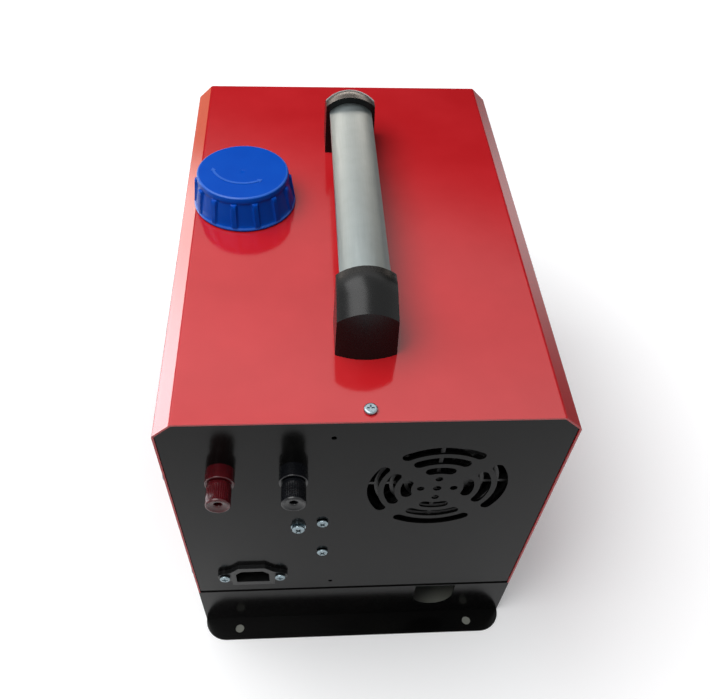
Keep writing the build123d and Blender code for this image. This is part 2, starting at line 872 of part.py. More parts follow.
collar_face = rear_face - post_collar_length
washer_recess = post_washer_thickness + seat_gap
cap_start = collar_face - seat_gap

for name, post_x in (("red", post_red_x), ("black", post_black_x)):
    with BuildPart() as collar:
        with BuildSketch(rear_plane(rear_face)):
            with Locations((post_x, post_z)):
                Circle(post_collar_radius)
        extrude(amount=post_collar_length)
        fillet(collar.faces().sort_by(Axis.Y)[0].edges(), post_collar_edge)
        with BuildSketch(rear_plane(rear_face)):
            with Locations((post_x, post_z)):
                Circle(post_spigot_radius)
        extrude(amount=-sheet)
        with BuildSketch(rear_plane(collar_face)):
            with Locations((post_x, post_z)):
                Circle(post_washer_radius + seat_gap)
        extrude(amount=-washer_recess, mode=Mode.SUBTRACT)
        with BuildSketch(rear_plane(rear_inside)):
            with Locations((post_x, post_z)):
                Circle(post_stud_radius)
        extrude(amount=post_collar_length + sheet, mode=Mode.SUBTRACT)
    export(f"post_collar_{name}", collar)

    with BuildPart() as washer:
        with BuildSketch(rear_plane(collar_face + post_washer_thickness)):
            with Locations((post_x, post_z)):
                Circle(post_washer_radius)
                Circle(post_stud_radius + post_thread_gap, mode=Mode.SUBTRACT)
        extrude(amount=post_washer_thickness)
    export(f"post_washer_{name}", washer)

    with BuildPart() as cap:
        with BuildSketch(rear_plane(cap_start)):
            with Locations((post_x, post_z)):
                Circle(post_cap_radius)
        extrude(amount=post_cap_length)
        fillet(cap.faces().sort_by(Axis.Y)[0].edges(), post_cap_edge)
        with BuildSketch(rear_plane(cap_start)):
            with Locations((post_x, post_z)):
                Circle(post_stud_radius + post_thread_gap)
        extrude(amount=post_stud_out - post_collar_length, mode=Mode.SUBTRACT)
        with BuildSketch(rear_plane(cap_start - post_cap_length)):
            with Locations((post_x, post_z)):
                Circle(post_socket_radius)
        extrude(amount=-post_cap_length, mode=Mode.SUBTRACT)
    export(f"post_cap_{name}", cap)

with BuildPart() as post_studs:
    with BuildSketch(rear_plane(rear_face + post_stud_in)):
        with Locations((post_red_x, post_z), (post_black_x, post_z)):
            Circle(post_stud_radius)
    extrude(amount=post_stud_in + post_stud_out)
export("post_studs", post_studs)

with BuildPart() as post_insulators:
    with BuildSketch(rear_plane(rear_inside)):
        with Locations((post_red_x, post_z), (post_black_x, post_z)):
            Circle(post_insulator_radius)
            Circle(post_stud_radius, mode=Mode.SUBTRACT)
    extrude(amount=-post_insulator_thickness)
export("post_insulators", post_insulators)

with BuildPart() as post_nuts:
    with BuildSketch(rear_plane(rear_inside + post_insulator_thickness)):
        with Locations((post_red_x, post_z), (post_black_x, post_z)):
            RegularPolygon(post_nut_width / 2, 6, major_radius=False)
            Circle(post_stud_radius, mode=Mode.SUBTRACT)
    extrude(amount=-post_nut_thickness)
export("post_nuts", post_nuts)

# --- Mains inlet ---


def inlet_face(width, height, cut):
    """An upright face on the inlet's centre, with its two upper corners cut off."""
    with BuildSketch(rear_plane(rear_face)) as outline:
        with Locations((inlet_x, inlet_z)):
            Rectangle(width, height)
        chamfer(outline.vertices().group_by(Axis.Y)[-1], cut)
    return outline.sketch


with BuildPart() as inlet_socket:
    middle = inlet_face(inlet_face_width, inlet_face_height, inlet_face_cut)
    extrude(middle, amount=inlet_flange_thickness)
    with BuildSketch(rear_plane(rear_face)):
        with BuildLine():
            half_spacing = inlet_screw_spacing / 2
            half_face = inlet_face_height / 2
            Polyline(
                (inlet_x - half_spacing, inlet_z - inlet_ear_radius),
                (inlet_x, inlet_z - half_face),
                (inlet_x + half_spacing, inlet_z - inlet_ear_radius),
                (inlet_x + half_spacing, inlet_z + inlet_ear_radius),
                (inlet_x, inlet_z + half_face),
                (inlet_x - half_spacing, inlet_z + inlet_ear_radius),
                close=True,
            )
        make_face()
        with Locations((inlet_x, inlet_z)):
            with GridLocations(inlet_screw_spacing, 0, 2, 1):
                Circle(inlet_ear_radius)
    extrude(amount=inlet_flange_thickness)
    with BuildSketch(rear_plane(rear_face)):
        with Locations((inlet_x, inlet_z)):
            Rectangle(inlet_body_width, inlet_body_height)
    extrude(amount=-inlet_body_depth)
    cavity_mouth = rear_face - inlet_flange_thickness
    cavity = inlet_face(inlet_cavity_width, inlet_cavity_height, inlet_cavity_cut)
    extrude(cavity, amount=inlet_flange_thickness, mode=Mode.SUBTRACT)
    extrude(cavity, amount=inlet_flange_thickness - inlet_cavity_depth, mode=Mode.SUBTRACT)
    with BuildSketch(rear_plane(cavity_mouth)):
        with Locations((inlet_x, inlet_z)):
            with GridLocations(inlet_screw_spacing, 0, 2, 1):
                Circle(screw_shank + screw_gap)
    extrude(amount=-inlet_flange_thickness, mode=Mode.SUBTRACT)
    with BuildSketch(rear_plane(cavity_mouth + inlet_cavity_depth)) as pin_faces:
        with Locations((inlet_x - pin_spacing / 2, inlet_z), (inlet_x + pin_spacing / 2, inlet_z)):
            Rectangle(pin_width, pin_height)
        with Locations((inlet_x, inlet_z + pin_earth_rise)):
            Rectangle(pin_width, pin_height)
    extrude(pin_faces.sketch, amount=-inlet_body_depth, mode=Mode.SUBTRACT)
export("inlet_socket", inlet_socket)

with BuildPart() as inlet_pins:
    floor_to_back = inlet_body_depth - inlet_cavity_depth + inlet_flange_thickness
    extrude(pin_faces.sketch, amount=pin_length)
    extrude(pin_faces.sketch, amount=-floor_to_back - pin_tab_length)
export("inlet_pins", inlet_pins)

# --- Heater core ---

chamber_radius = core_width / 2 - chamber_side_gap
chamber_length = core_front - chamber_front_gap - drum_rear
duct_top = heater_z - chamber_radius / 2
plug_y = drum_rear + plug_start


def core_block(inset, start, length):
    """A full-height block of the core's rounded section, drawn in by an inset."""
    with BuildPart() as block:
        with BuildSketch(rear_plane(start)):
            with Locations((heater_x, heater_z)):
                RectangleRounded(
                    core_width - 2 * inset, core_height - 2 * inset, core_corner - inset
                )
        extrude(amount=-length)
    return block.part


def core_shell(side):
    """Half of the core's housing: the lower one has side -1, the upper one +1."""
    with BuildPart() as shell:
        add(core_block(0, core_rear, core_length))
        add(
            core_block(core_wall, core_rear + core_wall, core_length - 2 * core_wall),
            mode=Mode.SUBTRACT,
        )
        with BuildSketch(rear_plane(core_rear)):
            with Locations((heater_x, heater_z)):
                Circle(core_inlet_radius)
        extrude(amount=-core_wall, mode=Mode.SUBTRACT)
        with BuildSketch(rear_plane(core_front)):
            with Locations((heater_x, heater_z)):
                Circle(core_outlet_radius)
        extrude(amount=core_wall, mode=Mode.SUBTRACT)
        with BuildSketch(Plane.XY.offset(heater_z)):
            with Locations((heater_x, (core_rear + core_front) / 2)):
                Rectangle(core_width, core_length)
        extrude(amount=-side * core_height / 2, mode=Mode.SUBTRACT)
        if side < 0:
            with BuildSketch(Plane.XY.offset(core_bottom)):
                with Locations((heater_x, (exhaust_y + intake_y) / 2)):
                    Rectangle(pad_width + 2 * pad_gap, pad_length + 2 * pad_gap)
            extrude(amount=core_wall, mode=Mode.SUBTRACT)
    return shell.part


def core_disc(radius, start, length):
    """A disc on the core's axis, running towards the front from depth start."""
    with BuildPart() as disc:
        with BuildSketch(rear_plane(start)):
            with Locations((heater_x, heater_z)):
                Circle(radius)
        extrude(amount=-length)
    return disc.part


def bladed_wheel(start, length, radius, hub, count, thickness, tilt):
    """Blades and a hub on the core's axis, cut square at both ends and round outside."""
    with BuildPart() as wheel:
        for index in range(count):
            angle = 2 * pi / count * index
            middle = (heater_x, start + length / 2, heater_z)
            outward = (cos(angle), 0, sin(angle))
            with BuildSketch(Plane(origin=middle, x_dir=(0, 1, 0), z_dir=outward)):
                Rectangle(2 * length, thickness, rotation=tilt)
            extrude(amount=2 * radius)
        add(core_disc(radius, start, length), mode=Mode.INTERSECT)
        add(core_disc(hub, start, length))
        add(core_disc(shaft_radius, start, length), mode=Mode.SUBTRACT)
    return wheel.part


with BuildPart() as core_lower_shell:
    add(core_shell(-1))
export("core_lower_shell", core_lower_shell)

with BuildPart() as core_upper_shell:
    add(core_shell(1))
export("core_upper_shell", core_upper_shell)

with BuildPart() as intake_guard:
    guard_start = core_rear - guard_thickness
    with BuildSketch(rear_plane(guard_start)):
        with Locations((heater_x, heater_z)):
            Circle(guard_radius)
            Circle(core_inlet_radius, mode=Mode.SUBTRACT)
            for ring in range(1, guard_ring_count + 1):
                with BuildSketch(mode=Mode.PRIVATE) as guard_ring:
                    Circle(guard_ring_pitch * ring + guard_bar / 2)
                    Circle(guard_ring_pitch * ring - guard_bar / 2, mode=Mode.SUBTRACT)
                add(guard_ring.sketch)
            with PolarLocations(0, guard_spokes):
                Rectangle(
                    core_inlet_radius + guard_overlap, guard_bar, align=(Align.MIN, Align.CENTER)
                )
    extrude(amount=-guard_thickness)
export("intake_guard", intake_guard)

with BuildPart() as air_impeller:
    add(
        bladed_wheel(
            core_rear + impeller_start,
            impeller_length,
            impeller_radius,
            impeller_hub,
            impeller_blades,
            blade_thickness,
            impeller_tilt,
        )
    )
export("air_impeller", air_impeller)

with BuildPart() as combustion_impeller:
    combustion_rear = drum_rear + combustion_start
    add(
        bladed_wheel(
            combustion_rear,
            combustion_length,
            combustion_radius,
            combustion_hub,
            combustion_blades,
            combustion_blade,
            0,
        )
    )
    add(core_disc(combustion_radius, combustion_rear, combustion_disc))
    add(core_disc(shaft_radius, combustion_rear, combustion_length), mode=Mode.SUBTRACT)
export("combustion_impeller", combustion_impeller)

with BuildPart() as rotor_shaft:
    add(core_disc(shaft_radius, core_rear + impeller_start, shaft_length))
export("rotor_shaft", rotor_shaft)

with BuildPart() as blower_motor:
    add(core_disc(motor_radius, core_rear + motor_start, motor_length))
    fillet(blower_motor.faces().sort_by(Axis.Y)[0].edges(), motor_flange_thickness)
    add(
        core_disc(motor_flange_radius, drum_rear - motor_flange_thickness, motor_flange_thickness)
    )
    add(
        core_disc(shaft_radius + shaft_gap, core_rear + motor_start, motor_length),
        mode=Mode.SUBTRACT,
    )
export("blower_motor", blower_motor)

with BuildPart() as heat_exchanger:
    add(core_disc(chamber_radius, drum_rear, chamber_length))
    fillet(heat_exchanger.faces().sort_by(Axis.Y)[-1].edges(), 2 * chamber_wall)
    fin_length = chamber_length - fin_start - fin_end_gap
    fin_root = chamber_radius - chamber_wall / 2
    for index in range(fin_count):
        angle = 2 * pi / fin_count * (index + 0.5)
        outward = (cos(angle), 0, sin(angle))
        along = (heater_x, drum_rear + fin_start + fin_length / 2, heater_z)
        with BuildSketch(Plane(origin=along, x_dir=(0, 1, 0), z_dir=outward).offset(fin_root)):
            Rectangle(fin_length, fin_thickness)
        extrude(amount=fin_height + chamber_radius - fin_root)
    with BuildSketch(Plane.XY.offset(core_bottom)):
        with Locations((heater_x, (exhaust_y + intake_y) / 2)):
            Rectangle(pad_width, pad_length)
    extrude(amount=pad_thickness)
    with BuildSketch(Plane.XY.offset(duct_bottom)):
        with Locations((exhaust_x, exhaust_y), (intake_x, intake_y)):
            Circle(duct_radius)
    extrude(amount=duct_top - duct_bottom)
    add(
        core_disc(
            chamber_radius - chamber_wall,
            drum_rear + chamber_wall,
            chamber_length - 2 * chamber_wall,
        ),
        mode=Mode.SUBTRACT,
    )
    add(core_disc(shaft_radius + shaft_hole_gap, drum_rear, chamber_wall), mode=Mode.SUBTRACT)
    with BuildSketch(Plane.XY.offset(duct_bottom)):
        with Locations((exhaust_x, exhaust_y), (intake_x, intake_y)):
            Circle(duct_bore)
    extrude(amount=duct_top - duct_bottom, mode=Mode.SUBTRACT)
    with BuildSketch(Plane.XY.offset(core_bottom)):
        with Locations((heater_x, fuel_port_y)):
            Circle(fuel_port_radius)
    extrude(amount=-fuel_port_length)
    with BuildSketch(Plane.XY.offset(core_bottom - fuel_port_length)):
        with Locations((heater_x, fuel_port_y)):
            Circle(line_radius)
    extrude(amount=fuel_port_socket, mode=Mode.SUBTRACT)
    with BuildSketch(Plane.YZ.offset(heater_x + burner_radius)):
        with Locations((plug_y, heater_z)):
            Circle(plug_radius)
    extrude(amount=chamber_radius, mode=Mode.SUBTRACT)
export("heat_exchanger", heat_exchanger)

with BuildPart() as burner_tube:
    burner_rear = drum_rear + burner_start
    add(core_disc(chamber_radius - chamber_wall, burner_rear, burner_flange))
    add(core_disc(burner_radius, burner_rear, burner_length))
    add(
        core_disc(burner_radius - burner_wall, burner_rear + burner_flange, burner_length),
        mode=Mode.SUBTRACT,
    )
    add(core_disc(burner_mouth, burner_rear, burner_flange), mode=Mode.SUBTRACT)
    for index in range(burner_hole_count):
        angle = 2 * pi / burner_hole_count * index
        outward = (cos(angle), 0, sin(angle))
        middle = (heater_x, burner_rear + burner_length / 2, heater_z)
        with BuildSketch(Plane(origin=middle, x_dir=(0, 1, 0), z_dir=outward)):
            Circle(burner_hole_radius)
        extrude(amount=burner_radius, mode=Mode.SUBTRACT)
    with BuildSketch(Plane.YZ.offset(heater_x)):
        with Locations((plug_y, heater_z)):
            Circle(plug_radius + plug_gap)
    extrude(amount=burner_radius, mode=Mode.SUBTRACT)
export("burner_tube", burner_tube)

with BuildPart() as glow_plug:
    plug_tip = heater_x + burner_radius - plug_inset
    plug_seat = heater_x + chamber_radius
    with BuildSketch(Plane.YZ.offset(plug_tip)):
        with Locations((plug_y, heater_z)):
            Circle(plug_radius)
    extrude(amount=plug_seat - plug_tip)
    with BuildSketch(Plane.YZ.offset(plug_seat)):
        with Locations((plug_y, heater_z)):
            RegularPolygon(plug_hex_width / 2, 6, major_radius=False)
    extrude(amount=plug_hex_height)
    with BuildSketch(Plane.YZ.offset(plug_seat + plug_hex_height)):
        with Locations((plug_y, heater_z)):
            Circle(plug_terminal_radius)
    extrude(amount=plug_terminal_length)
export("glow_plug", glow_plug)

with BuildPart() as control_unit:
    unit_top = heater_z + core_height / 2 - core_wall
    with BuildSketch(Plane.XY.offset(unit_top)):
        with Locations((heater_x, core_rear + unit_start)):
            Rectangle(unit_width, unit_length, align=(Align.CENTER, Align.MIN))
    extrude(amount=heater_z + chamber_radius + unit_gap - unit_top)
    fillet(control_unit.edges().filter_by(Axis.Z), core_wall)
export("control_unit", control_unit)

# --- Stand, pipes and fuel line ---

with BuildPart() as heater_stand:
    stand_top = core_bottom - stand_sheet
    stand_width = core_width - 2 * stand_inset
    with BuildSketch(rear_plane(core_rear + stand_rear_gap)):
        with Locations((heater_x, deck_height)):
            Rectangle(stand_width, core_bottom - deck_height, align=(Align.CENTER, Align.MIN))
            Rectangle(stand_width + 2 * stand_foot, stand_sheet, align=(Align.CENTER, Align.MIN))
            Rectangle(
                stand_width - 2 * stand_sheet,
                stand_top - deck_height,
                align=(Align.CENTER, Align.MIN),
                mode=Mode.SUBTRACT,
            )
    extrude(amount=stand_rear_gap + stand_front_gap - core_length)
    with BuildSketch(Plane.XY.offset(stand_top)):
        with Locations((exhaust_x, exhaust_y), (intake_x, intake_y)):
            Circle(duct_radius + stand_hole_gap)
        with Locations((heater_x, fuel_port_y)):
            Circle(fuel_port_radius + stand_hole_gap)
    extrude(amount=stand_sheet, mode=Mode.SUBTRACT)
export("heater_stand", heater_stand)

pipe_top = stand_top - pipe_top_gap
filter_x = heater_x - filter_offset
filter_start = tank_nipple_y - filter_nipple_gap - fitting_length - filter_length
hose_turn_y = exhaust_y + hose_turn_gap
pump_x = heater_x + pump_offset
pump_start = hose_turn_y + pump_turn_gap


def upright_pipe(x, y):
    """A pipe that hangs from one of the core's ducts."""
    with BuildPart() as pipe:
        with BuildSketch(Plane.XY.offset(pipe_end_height)):
            with Locations((x, y)):
                Circle(duct_radius + pipe_wall)
                Circle(duct_radius, mode=Mode.SUBTRACT)
        extrude(amount=pipe_top - pipe_end_height)
        with BuildSketch(Plane.XY.offset(pipe_end_height + pipe_spigot)):
            with Locations((x, y)):
                Circle(duct_radius + pipe_wall + bead_height)
                Circle(duct_radius, mode=Mode.SUBTRACT)
        extrude(amount=bead_width)
    return pipe.part


with BuildPart() as exhaust_pipe:
    add(upright_pipe(exhaust_x, exhaust_y))
export("exhaust_pipe", exhaust_pipe)

with BuildPart() as air_intake_pipe:
    add(upright_pipe(intake_x, intake_y))
export("air_intake_pipe", air_intake_pipe)

with BuildPart() as pipe_clamps:
    with BuildSketch(Plane.XY.offset(pipe_top - clamp_drop)):
        with Locations((exhaust_x, exhaust_y), (intake_x, intake_y)):
            Circle(duct_radius + pipe_wall + clamp_thickness)
            Rectangle(
                clamp_lug,
                duct_radius + pipe_wall + clamp_lug,
                align=(Align.CENTER, Align.MAX),
            )
            Circle(duct_radius + pipe_wall, mode=Mode.SUBTRACT)
    extrude(amount=-clamp_width)
export("pipe_clamps", pipe_clamps)


def turned(x, start, steps):
    """A stepped round piece along Y at the fuel line's height; each step is (radius, length)."""
    with BuildPart() as piece:
        for radius, length in steps:
            with BuildSketch(rear_plane(start)):
                with Locations((x, line_height)):
                    Circle(radius)
            extrude(amount=-length)
            start = start + length
    return piece.part


with BuildPart() as fuel_filter:
    add(turned(filter_x, filter_start, [(filter_radius, filter_length)]))
    fillet(fuel_filter.edges().filter_by(GeomType.CIRCLE), filter_edge)
    fitting_steps = [(nipple_radius, 2 * fitting_length + filter_length)]
    add(turned(filter_x, filter_start - fitting_length, fitting_steps))
export("fuel_filter", fuel_filter)

with BuildPart() as fuel_pump:
    add(
        turned(
            pump_x,
            pump_start - pump_neck_length - fitting_length,
            [
                (nipple_radius, fitting_length),
                (pump_neck_radius, pump_neck_length),
                (pump_radius, pump_length),
                (pump_neck_radius, pump_neck_length),
            ],
        )
    )
    pump_end = pump_start + pump_length + pump_neck_length
    add(turned(pump_x, pump_end - pump_socket, [(line_radius, pump_socket)]), mode=Mode.SUBTRACT)
export("fuel_pump", fuel_pump)

with BuildPart() as pump_clamp:
    with BuildSketch(rear_plane(pump_start + (pump_length - pump_clamp_width) / 2)):
        with Locations((pump_x, line_height)):
            Circle(pump_radius + pump_clamp_thickness)
            Circle(pump_radius, mode=Mode.SUBTRACT)
        with Locations((pump_x, deck_height)):
            Rectangle(pump_foot_width, pump_clamp_thickness, align=(Align.CENTER, Align.MIN))
    extrude(amount=-pump_clamp_width)
export("pump_clamp", pump_clamp)


def hose(points, bend):
    """A hollow hose in the fuel line's level plane, through the given points."""
    with BuildPart() as tube:
        with BuildLine(Plane.XY.offset(line_height)) as route:
            FilletPolyline(*points, radius=bend)
        with BuildSketch(route.wire() ^ 0):
            Circle(hose_radius)
            Circle(nipple_radius, mode=Mode.SUBTRACT)
        sweep(path=route.wire())
    return tube.part


with BuildPart() as tank_hose:
    tank_hose_points = (
        (tank_right + nipple_length - hose_overlap, tank_nipple_y),
        (filter_x, tank_nipple_y),
        (filter_x, filter_start + filter_length + fitting_length - hose_overlap),
    )
    add(hose(tank_hose_points, hose_bend))
export("tank_hose", tank_hose)

with BuildPart() as filter_hose:
    filter_hose_points = (
        (filter_x, filter_start - fitting_length + hose_overlap),
        (filter_x, hose_turn_y),
        (pump_x, hose_turn_y),
        (pump_x, pump_start - pump_neck_length - fitting_length + hose_overlap),
    )
    add(hose(filter_hose_points, hose_bend))
export("filter_hose", filter_hose)

with BuildPart() as fuel_line:
    line_turn_y = pump_end + line_turn_gap
    line_end = core_bottom - fuel_port_length + fuel_port_socket
    with BuildLine() as line_route:
        FilletPolyline(
            (pump_x, pump_end - pump_socket, line_height),
            (pump_x, line_turn_y, line_height),
            (heater_x, line_turn_y, line_end - line_drop),
            (heater_x, fuel_port_y, line_end - line_drop),
            (heater_x, fuel_port_y, line_end),
            radius=line_bend,
        )
    with BuildSketch(line_route.wire() ^ 0):
        Circle(line_radius)
    sweep(path=line_route.wire())
export("fuel_line", fuel_line)

# --- Power supply and leads ---

supply_left = case_left + supply_side_gap
supply_width = supply_right - supply_left
supply_top = post_z - strip_height / 2
supply_height = supply_top - deck_height
strip_rear = supply_rear + (supply_depth - strip_depth) / 2
strip_width = supply_width - 2 * strip_inset

with BuildPart() as power_supply:
    with BuildSketch(rear_plane(supply_rear)):
        with Locations((supply_left, deck_height)):
            Rectangle(supply_width, supply_height, align=(Align.MIN, Align.MIN))
    extrude(amount=-supply_depth)
    with BuildSketch(rear_plane(strip_rear)):
        with Locations(((supply_left + supply_right) / 2, supply_top)):
            Rectangle(strip_width, strip_height, align=(Align.CENTER, Align.MIN))
    extrude(amount=-strip_depth)
    with BuildSketch(rear_plane(supply_rear)):
        with Locations(((supply_left + supply_right) / 2, deck_height + supply_height / 2)):
            slot_pitch = (supply_width - 2 * supply_slot_in) / (supply_slots - 1)
            with GridLocations(slot_pitch, 0, supply_slots, 1):
                SlotOverall(supply_slot_height, supply_slot_width, rotation=90)
    extrude(amount=-supply_slot_depth, mode=Mode.SUBTRACT)
export("power_supply", power_supply)

with BuildPart() as psu_bracket:
    bracket_right = supply_right + bracket_sheet
    with BuildSketch(Plane.XY.offset(bracket_bottom)):
        with Locations((bracket_right, rear_inside)):
            Rectangle(
                bracket_right - bracket_screw_x + bracket_width / 2,
                bracket_sheet,
                align=(Align.MAX, Align.MIN),
            )
            Rectangle(
                bracket_sheet,
                supply_rear + bracket_overlap - rear_inside,
                align=(Align.MAX, Align.MIN),
            )
    extrude(amount=bracket_height)
    with BuildSketch(rear_plane(rear_inside)):
        with Locations((bracket_screw_x, bracket_screw_z)):
            with GridLocations(0, bracket_screw_spacing, 1, 2):
                Circle(screw_shank + screw_gap)
    extrude(amount=-bracket_sheet, mode=Mode.SUBTRACT)
export("psu_bracket", psu_bracket)


def lead(plane, points):
    """A round lead along a bent route in a plane."""
    with BuildPart() as wire:
        with BuildLine(plane) as route:
            FilletPolyline(*points, radius=lead_bend)
        with BuildSketch(route.wire() ^ 0):
            Circle(lead_radius)
        sweep(path=route.wire())
    return wire.part


tab_end = rear_face + inlet_body_depth + pin_tab_length
tab_middle = tab_end - pin_tab_length / 2
switch_side = switch_x + switch_body_width / 2
inner_x, outer_x = tank_right + lead_inner_gap, tank_right + lead_outer_gap
inner_y, outer_y = tank_front + lead_front_inner, tank_front + lead_front_outer

with BuildPart() as ac_leads:
    tab_plane = Plane.XY.offset(inlet_z)
    left_tab = inlet_x - pin_spacing / 2
    right_tab = inlet_x + pin_spacing / 2
    add(
        lead(
            tab_plane,
            (
                (left_tab, tab_end),
                (left_tab, supply_rear - lead_near_gap),
                (inner_x, supply_rear - lead_near_gap),
                (inner_x, inner_y),
                (switch_side, inner_y),
            ),
        )
    )
    add(
        lead(
            tab_plane,
            (
                (right_tab, tab_end),
                (right_tab, supply_rear - lead_far_gap),
                (outer_x, supply_rear - lead_far_gap),
                (outer_x, outer_y),
                (switch_side, outer_y),
            ),
        )
    )
    for start_x, across_y, along_x, end_y in (
        (supply_right - 3 * lead_spacing, supply_front + lead_far_gap, inner_x, inner_y),
        (supply_right - 2 * lead_spacing, supply_front + lead_near_gap, outer_x, outer_y),
    ):
        add(
            lead(
                Plane.XY.offset(inlet_z + lead_spacing),
                (
                    (start_x, supply_front),
                    (start_x, across_y),
                    (along_x, across_y),
                    (along_x, end_y),
                    (switch_side, end_y),
                ),
            )
        )
    add(
        lead(
            rear_plane(tab_middle),
            (
                (inlet_x, inlet_z + pin_earth_rise + pin_height / 2),
                (inlet_x, earth_screw_z),
                (earth_screw_x - earth_shank, earth_screw_z),
            ),
        )
    )
export("ac_leads", ac_leads)

with BuildPart() as dc_leads:
    with BuildSketch(rear_plane(rear_face + post_stud_in)):
        with Locations((post_red_x, post_z), (post_black_x, post_z)):
            Circle(lead_radius)
    extrude(amount=rear_face + post_stud_in - strip_rear)
    strip_right = (supply_left + supply_right + strip_width) / 2
    with BuildSketch(Plane.YZ.offset(strip_right)):
        with Locations((strip_rear + strip_depth / 2, post_z)):
            with GridLocations(strip_depth / 2, 0, 2, 1):
                Circle(lead_radius)
    extrude(amount=heater_x - core_width / 2 - strip_right)
export("dc_leads", dc_leads)

# --- Front end ---

with BuildPart() as outlet_collar:
    with BuildSketch(rear_plane(core_front)):
        with Locations((heater_x, heater_z)):
            Circle(outlet_radius + outlet_wall)
            Circle(outlet_radius, mode=Mode.SUBTRACT)
    extrude(amount=core_front - front_face - outlet_rim_thickness)
    with BuildSketch(rear_plane(front_face)):
        with Locations((heater_x, heater_z)):
            Circle(outlet_radius + outlet_rim)
            Circle(outlet_radius, mode=Mode.SUBTRACT)
    extrude(amount=-outlet_rim_thickness)
    louvre_rear = front_face + outlet_rim_thickness - louvre_depth
    with BuildSketch(rear_plane(louvre_rear - louvre_gap)):
        with Locations((heater_x, heater_z)):
            Circle(outlet_radius)
            Circle(outlet_radius - outlet_stop, mode=Mode.SUBTRACT)
    extrude(amount=outlet_stop)
export("outlet_collar", outlet_collar)

with BuildPart() as outlet_louvre:
    louvre_middle = (heater_x, louvre_rear + louvre_depth / 2, heater_z)
    for index in range(louvre_count):
        rise = louvre_pitch * (index - (louvre_count - 1) / 2)
        with BuildSketch(Plane(origin=louvre_middle, x_dir=(0, 1, 0), z_dir=(1, 0, 0))):
            with Locations((0, rise)):
                Rectangle(2 * louvre_depth, louvre_blade, rotation=-louvre_tilt)
        extrude(amount=outlet_radius, both=True)
    add(
        core_disc(outlet_radius - louvre_gap, louvre_rear, louvre_depth),
        mode=Mode.INTERSECT,
    )
    with BuildSketch(rear_plane(louvre_rear)):
        with Locations((heater_x, heater_z)):
            Circle(outlet_radius - louvre_gap)
            Circle(outlet_radius - louvre_gap - louvre_ring, mode=Mode.SUBTRACT)
    extrude(amount=-louvre_depth)
export("outlet_louvre", outlet_louvre)

controller_middle = (-controller_x, controller_z)
controller_edge_x = -controller_x + controller_width / 2
knob_middle = (controller_edge_x - knob_in - knob_radius, controller_z + lcd_up)
lcd_width = controller_width - lcd_in - lcd_knob_gap - 2 * knob_radius - knob_in
lcd_middle = (lcd_in - controller_x - controller_width / 2 + lcd_width / 2, controller_z + lcd_up)
button_middles = [
    (lcd_middle[0] + offset_x, controller_z - button_down)
    for offset_x in (-button_spacing / 2, button_spacing / 2)
]
bezel_face = front_face + controller_bezel
well_depth = button_length - button_proud + button_travel + button_gap

with BuildPart() as controller_case:
    with BuildSketch(front_plane(front_face)):
        with Locations(controller_middle):
            RectangleRounded(controller_width, controller_height, controller_corner)
    extrude(amount=controller_bezel)
    fillet(controller_case.faces().sort_by(Axis.Y)[-1].edges(), controller_edge)
    with BuildSketch(front_plane(front_face)):
        with Locations(controller_middle):
            Rectangle(controller_body_width, controller_body_height)
    extrude(amount=-controller_body_depth)
    with BuildSketch(front_plane(bezel_face)):
        with Locations(lcd_middle):
            Rectangle(lcd_width, lcd_height)
    extrude(amount=-lcd_thickness, mode=Mode.SUBTRACT)
    with BuildSketch(front_plane(bezel_face)):
        with Locations(knob_middle):
            Circle(shaft_radius + shaft_gap)
    extrude(amount=-knob_shaft_length - button_gap, mode=Mode.SUBTRACT)
    with BuildSketch(front_plane(bezel_face)):
        with Locations(*button_middles):
            Circle(button_radius + button_gap)
    extrude(amount=-well_depth, mode=Mode.SUBTRACT)
export("controller_case", controller_case)

with BuildPart() as lcd_window:
    with BuildSketch(front_plane(bezel_face)):
        with Locations(lcd_middle):
            Rectangle(lcd_width, lcd_height)
    extrude(amount=-lcd_thickness)
export("lcd_window", lcd_window)

with BuildPart() as controller_knob:
    with BuildSketch(front_plane(bezel_face + button_gap)):
        with Locations(knob_middle):
            Circle(knob_radius)
    extrude(amount=knob_height)
    fillet(controller_knob.faces().sort_by(Axis.Y)[-1].edges(), knob_edge)
    with BuildSketch(front_plane(bezel_face + button_gap + knob_flute_start)):
        with Locations(knob_middle):
            with PolarLocations(knob_radius, knob_flutes):
                Circle(knob_flute_radius)
    extrude(amount=knob_height, mode=Mode.SUBTRACT)
    with BuildSketch(front_plane(bezel_face + button_gap)):
        with Locations(knob_middle):
            Circle(shaft_radius)
    extrude(amount=-knob_shaft_length)
    with BuildSketch(front_plane(bezel_face + button_gap + knob_height)):
        with Locations(knob_middle):
            with Locations((0, knob_radius / 2)):
                SlotOverall(knob_pointer, 2 * knob_flute_radius, rotation=90)
    extrude(amount=-knob_edge, mode=Mode.SUBTRACT)
export("controller_knob", controller_knob)

for name, button_middle in zip(("power", "mode"), button_middles):
    with BuildPart() as button:
        with BuildSketch(front_plane(bezel_face + button_proud)):
            with Locations(button_middle):
                Circle(button_radius)
        extrude(amount=-button_length)
        fillet(button.faces().sort_by(Axis.Y)[-1].edges(), button_edge)
    export(f"button_{name}", button)

pivot_y = front_face + switch_bezel - rocker_pivot_depth

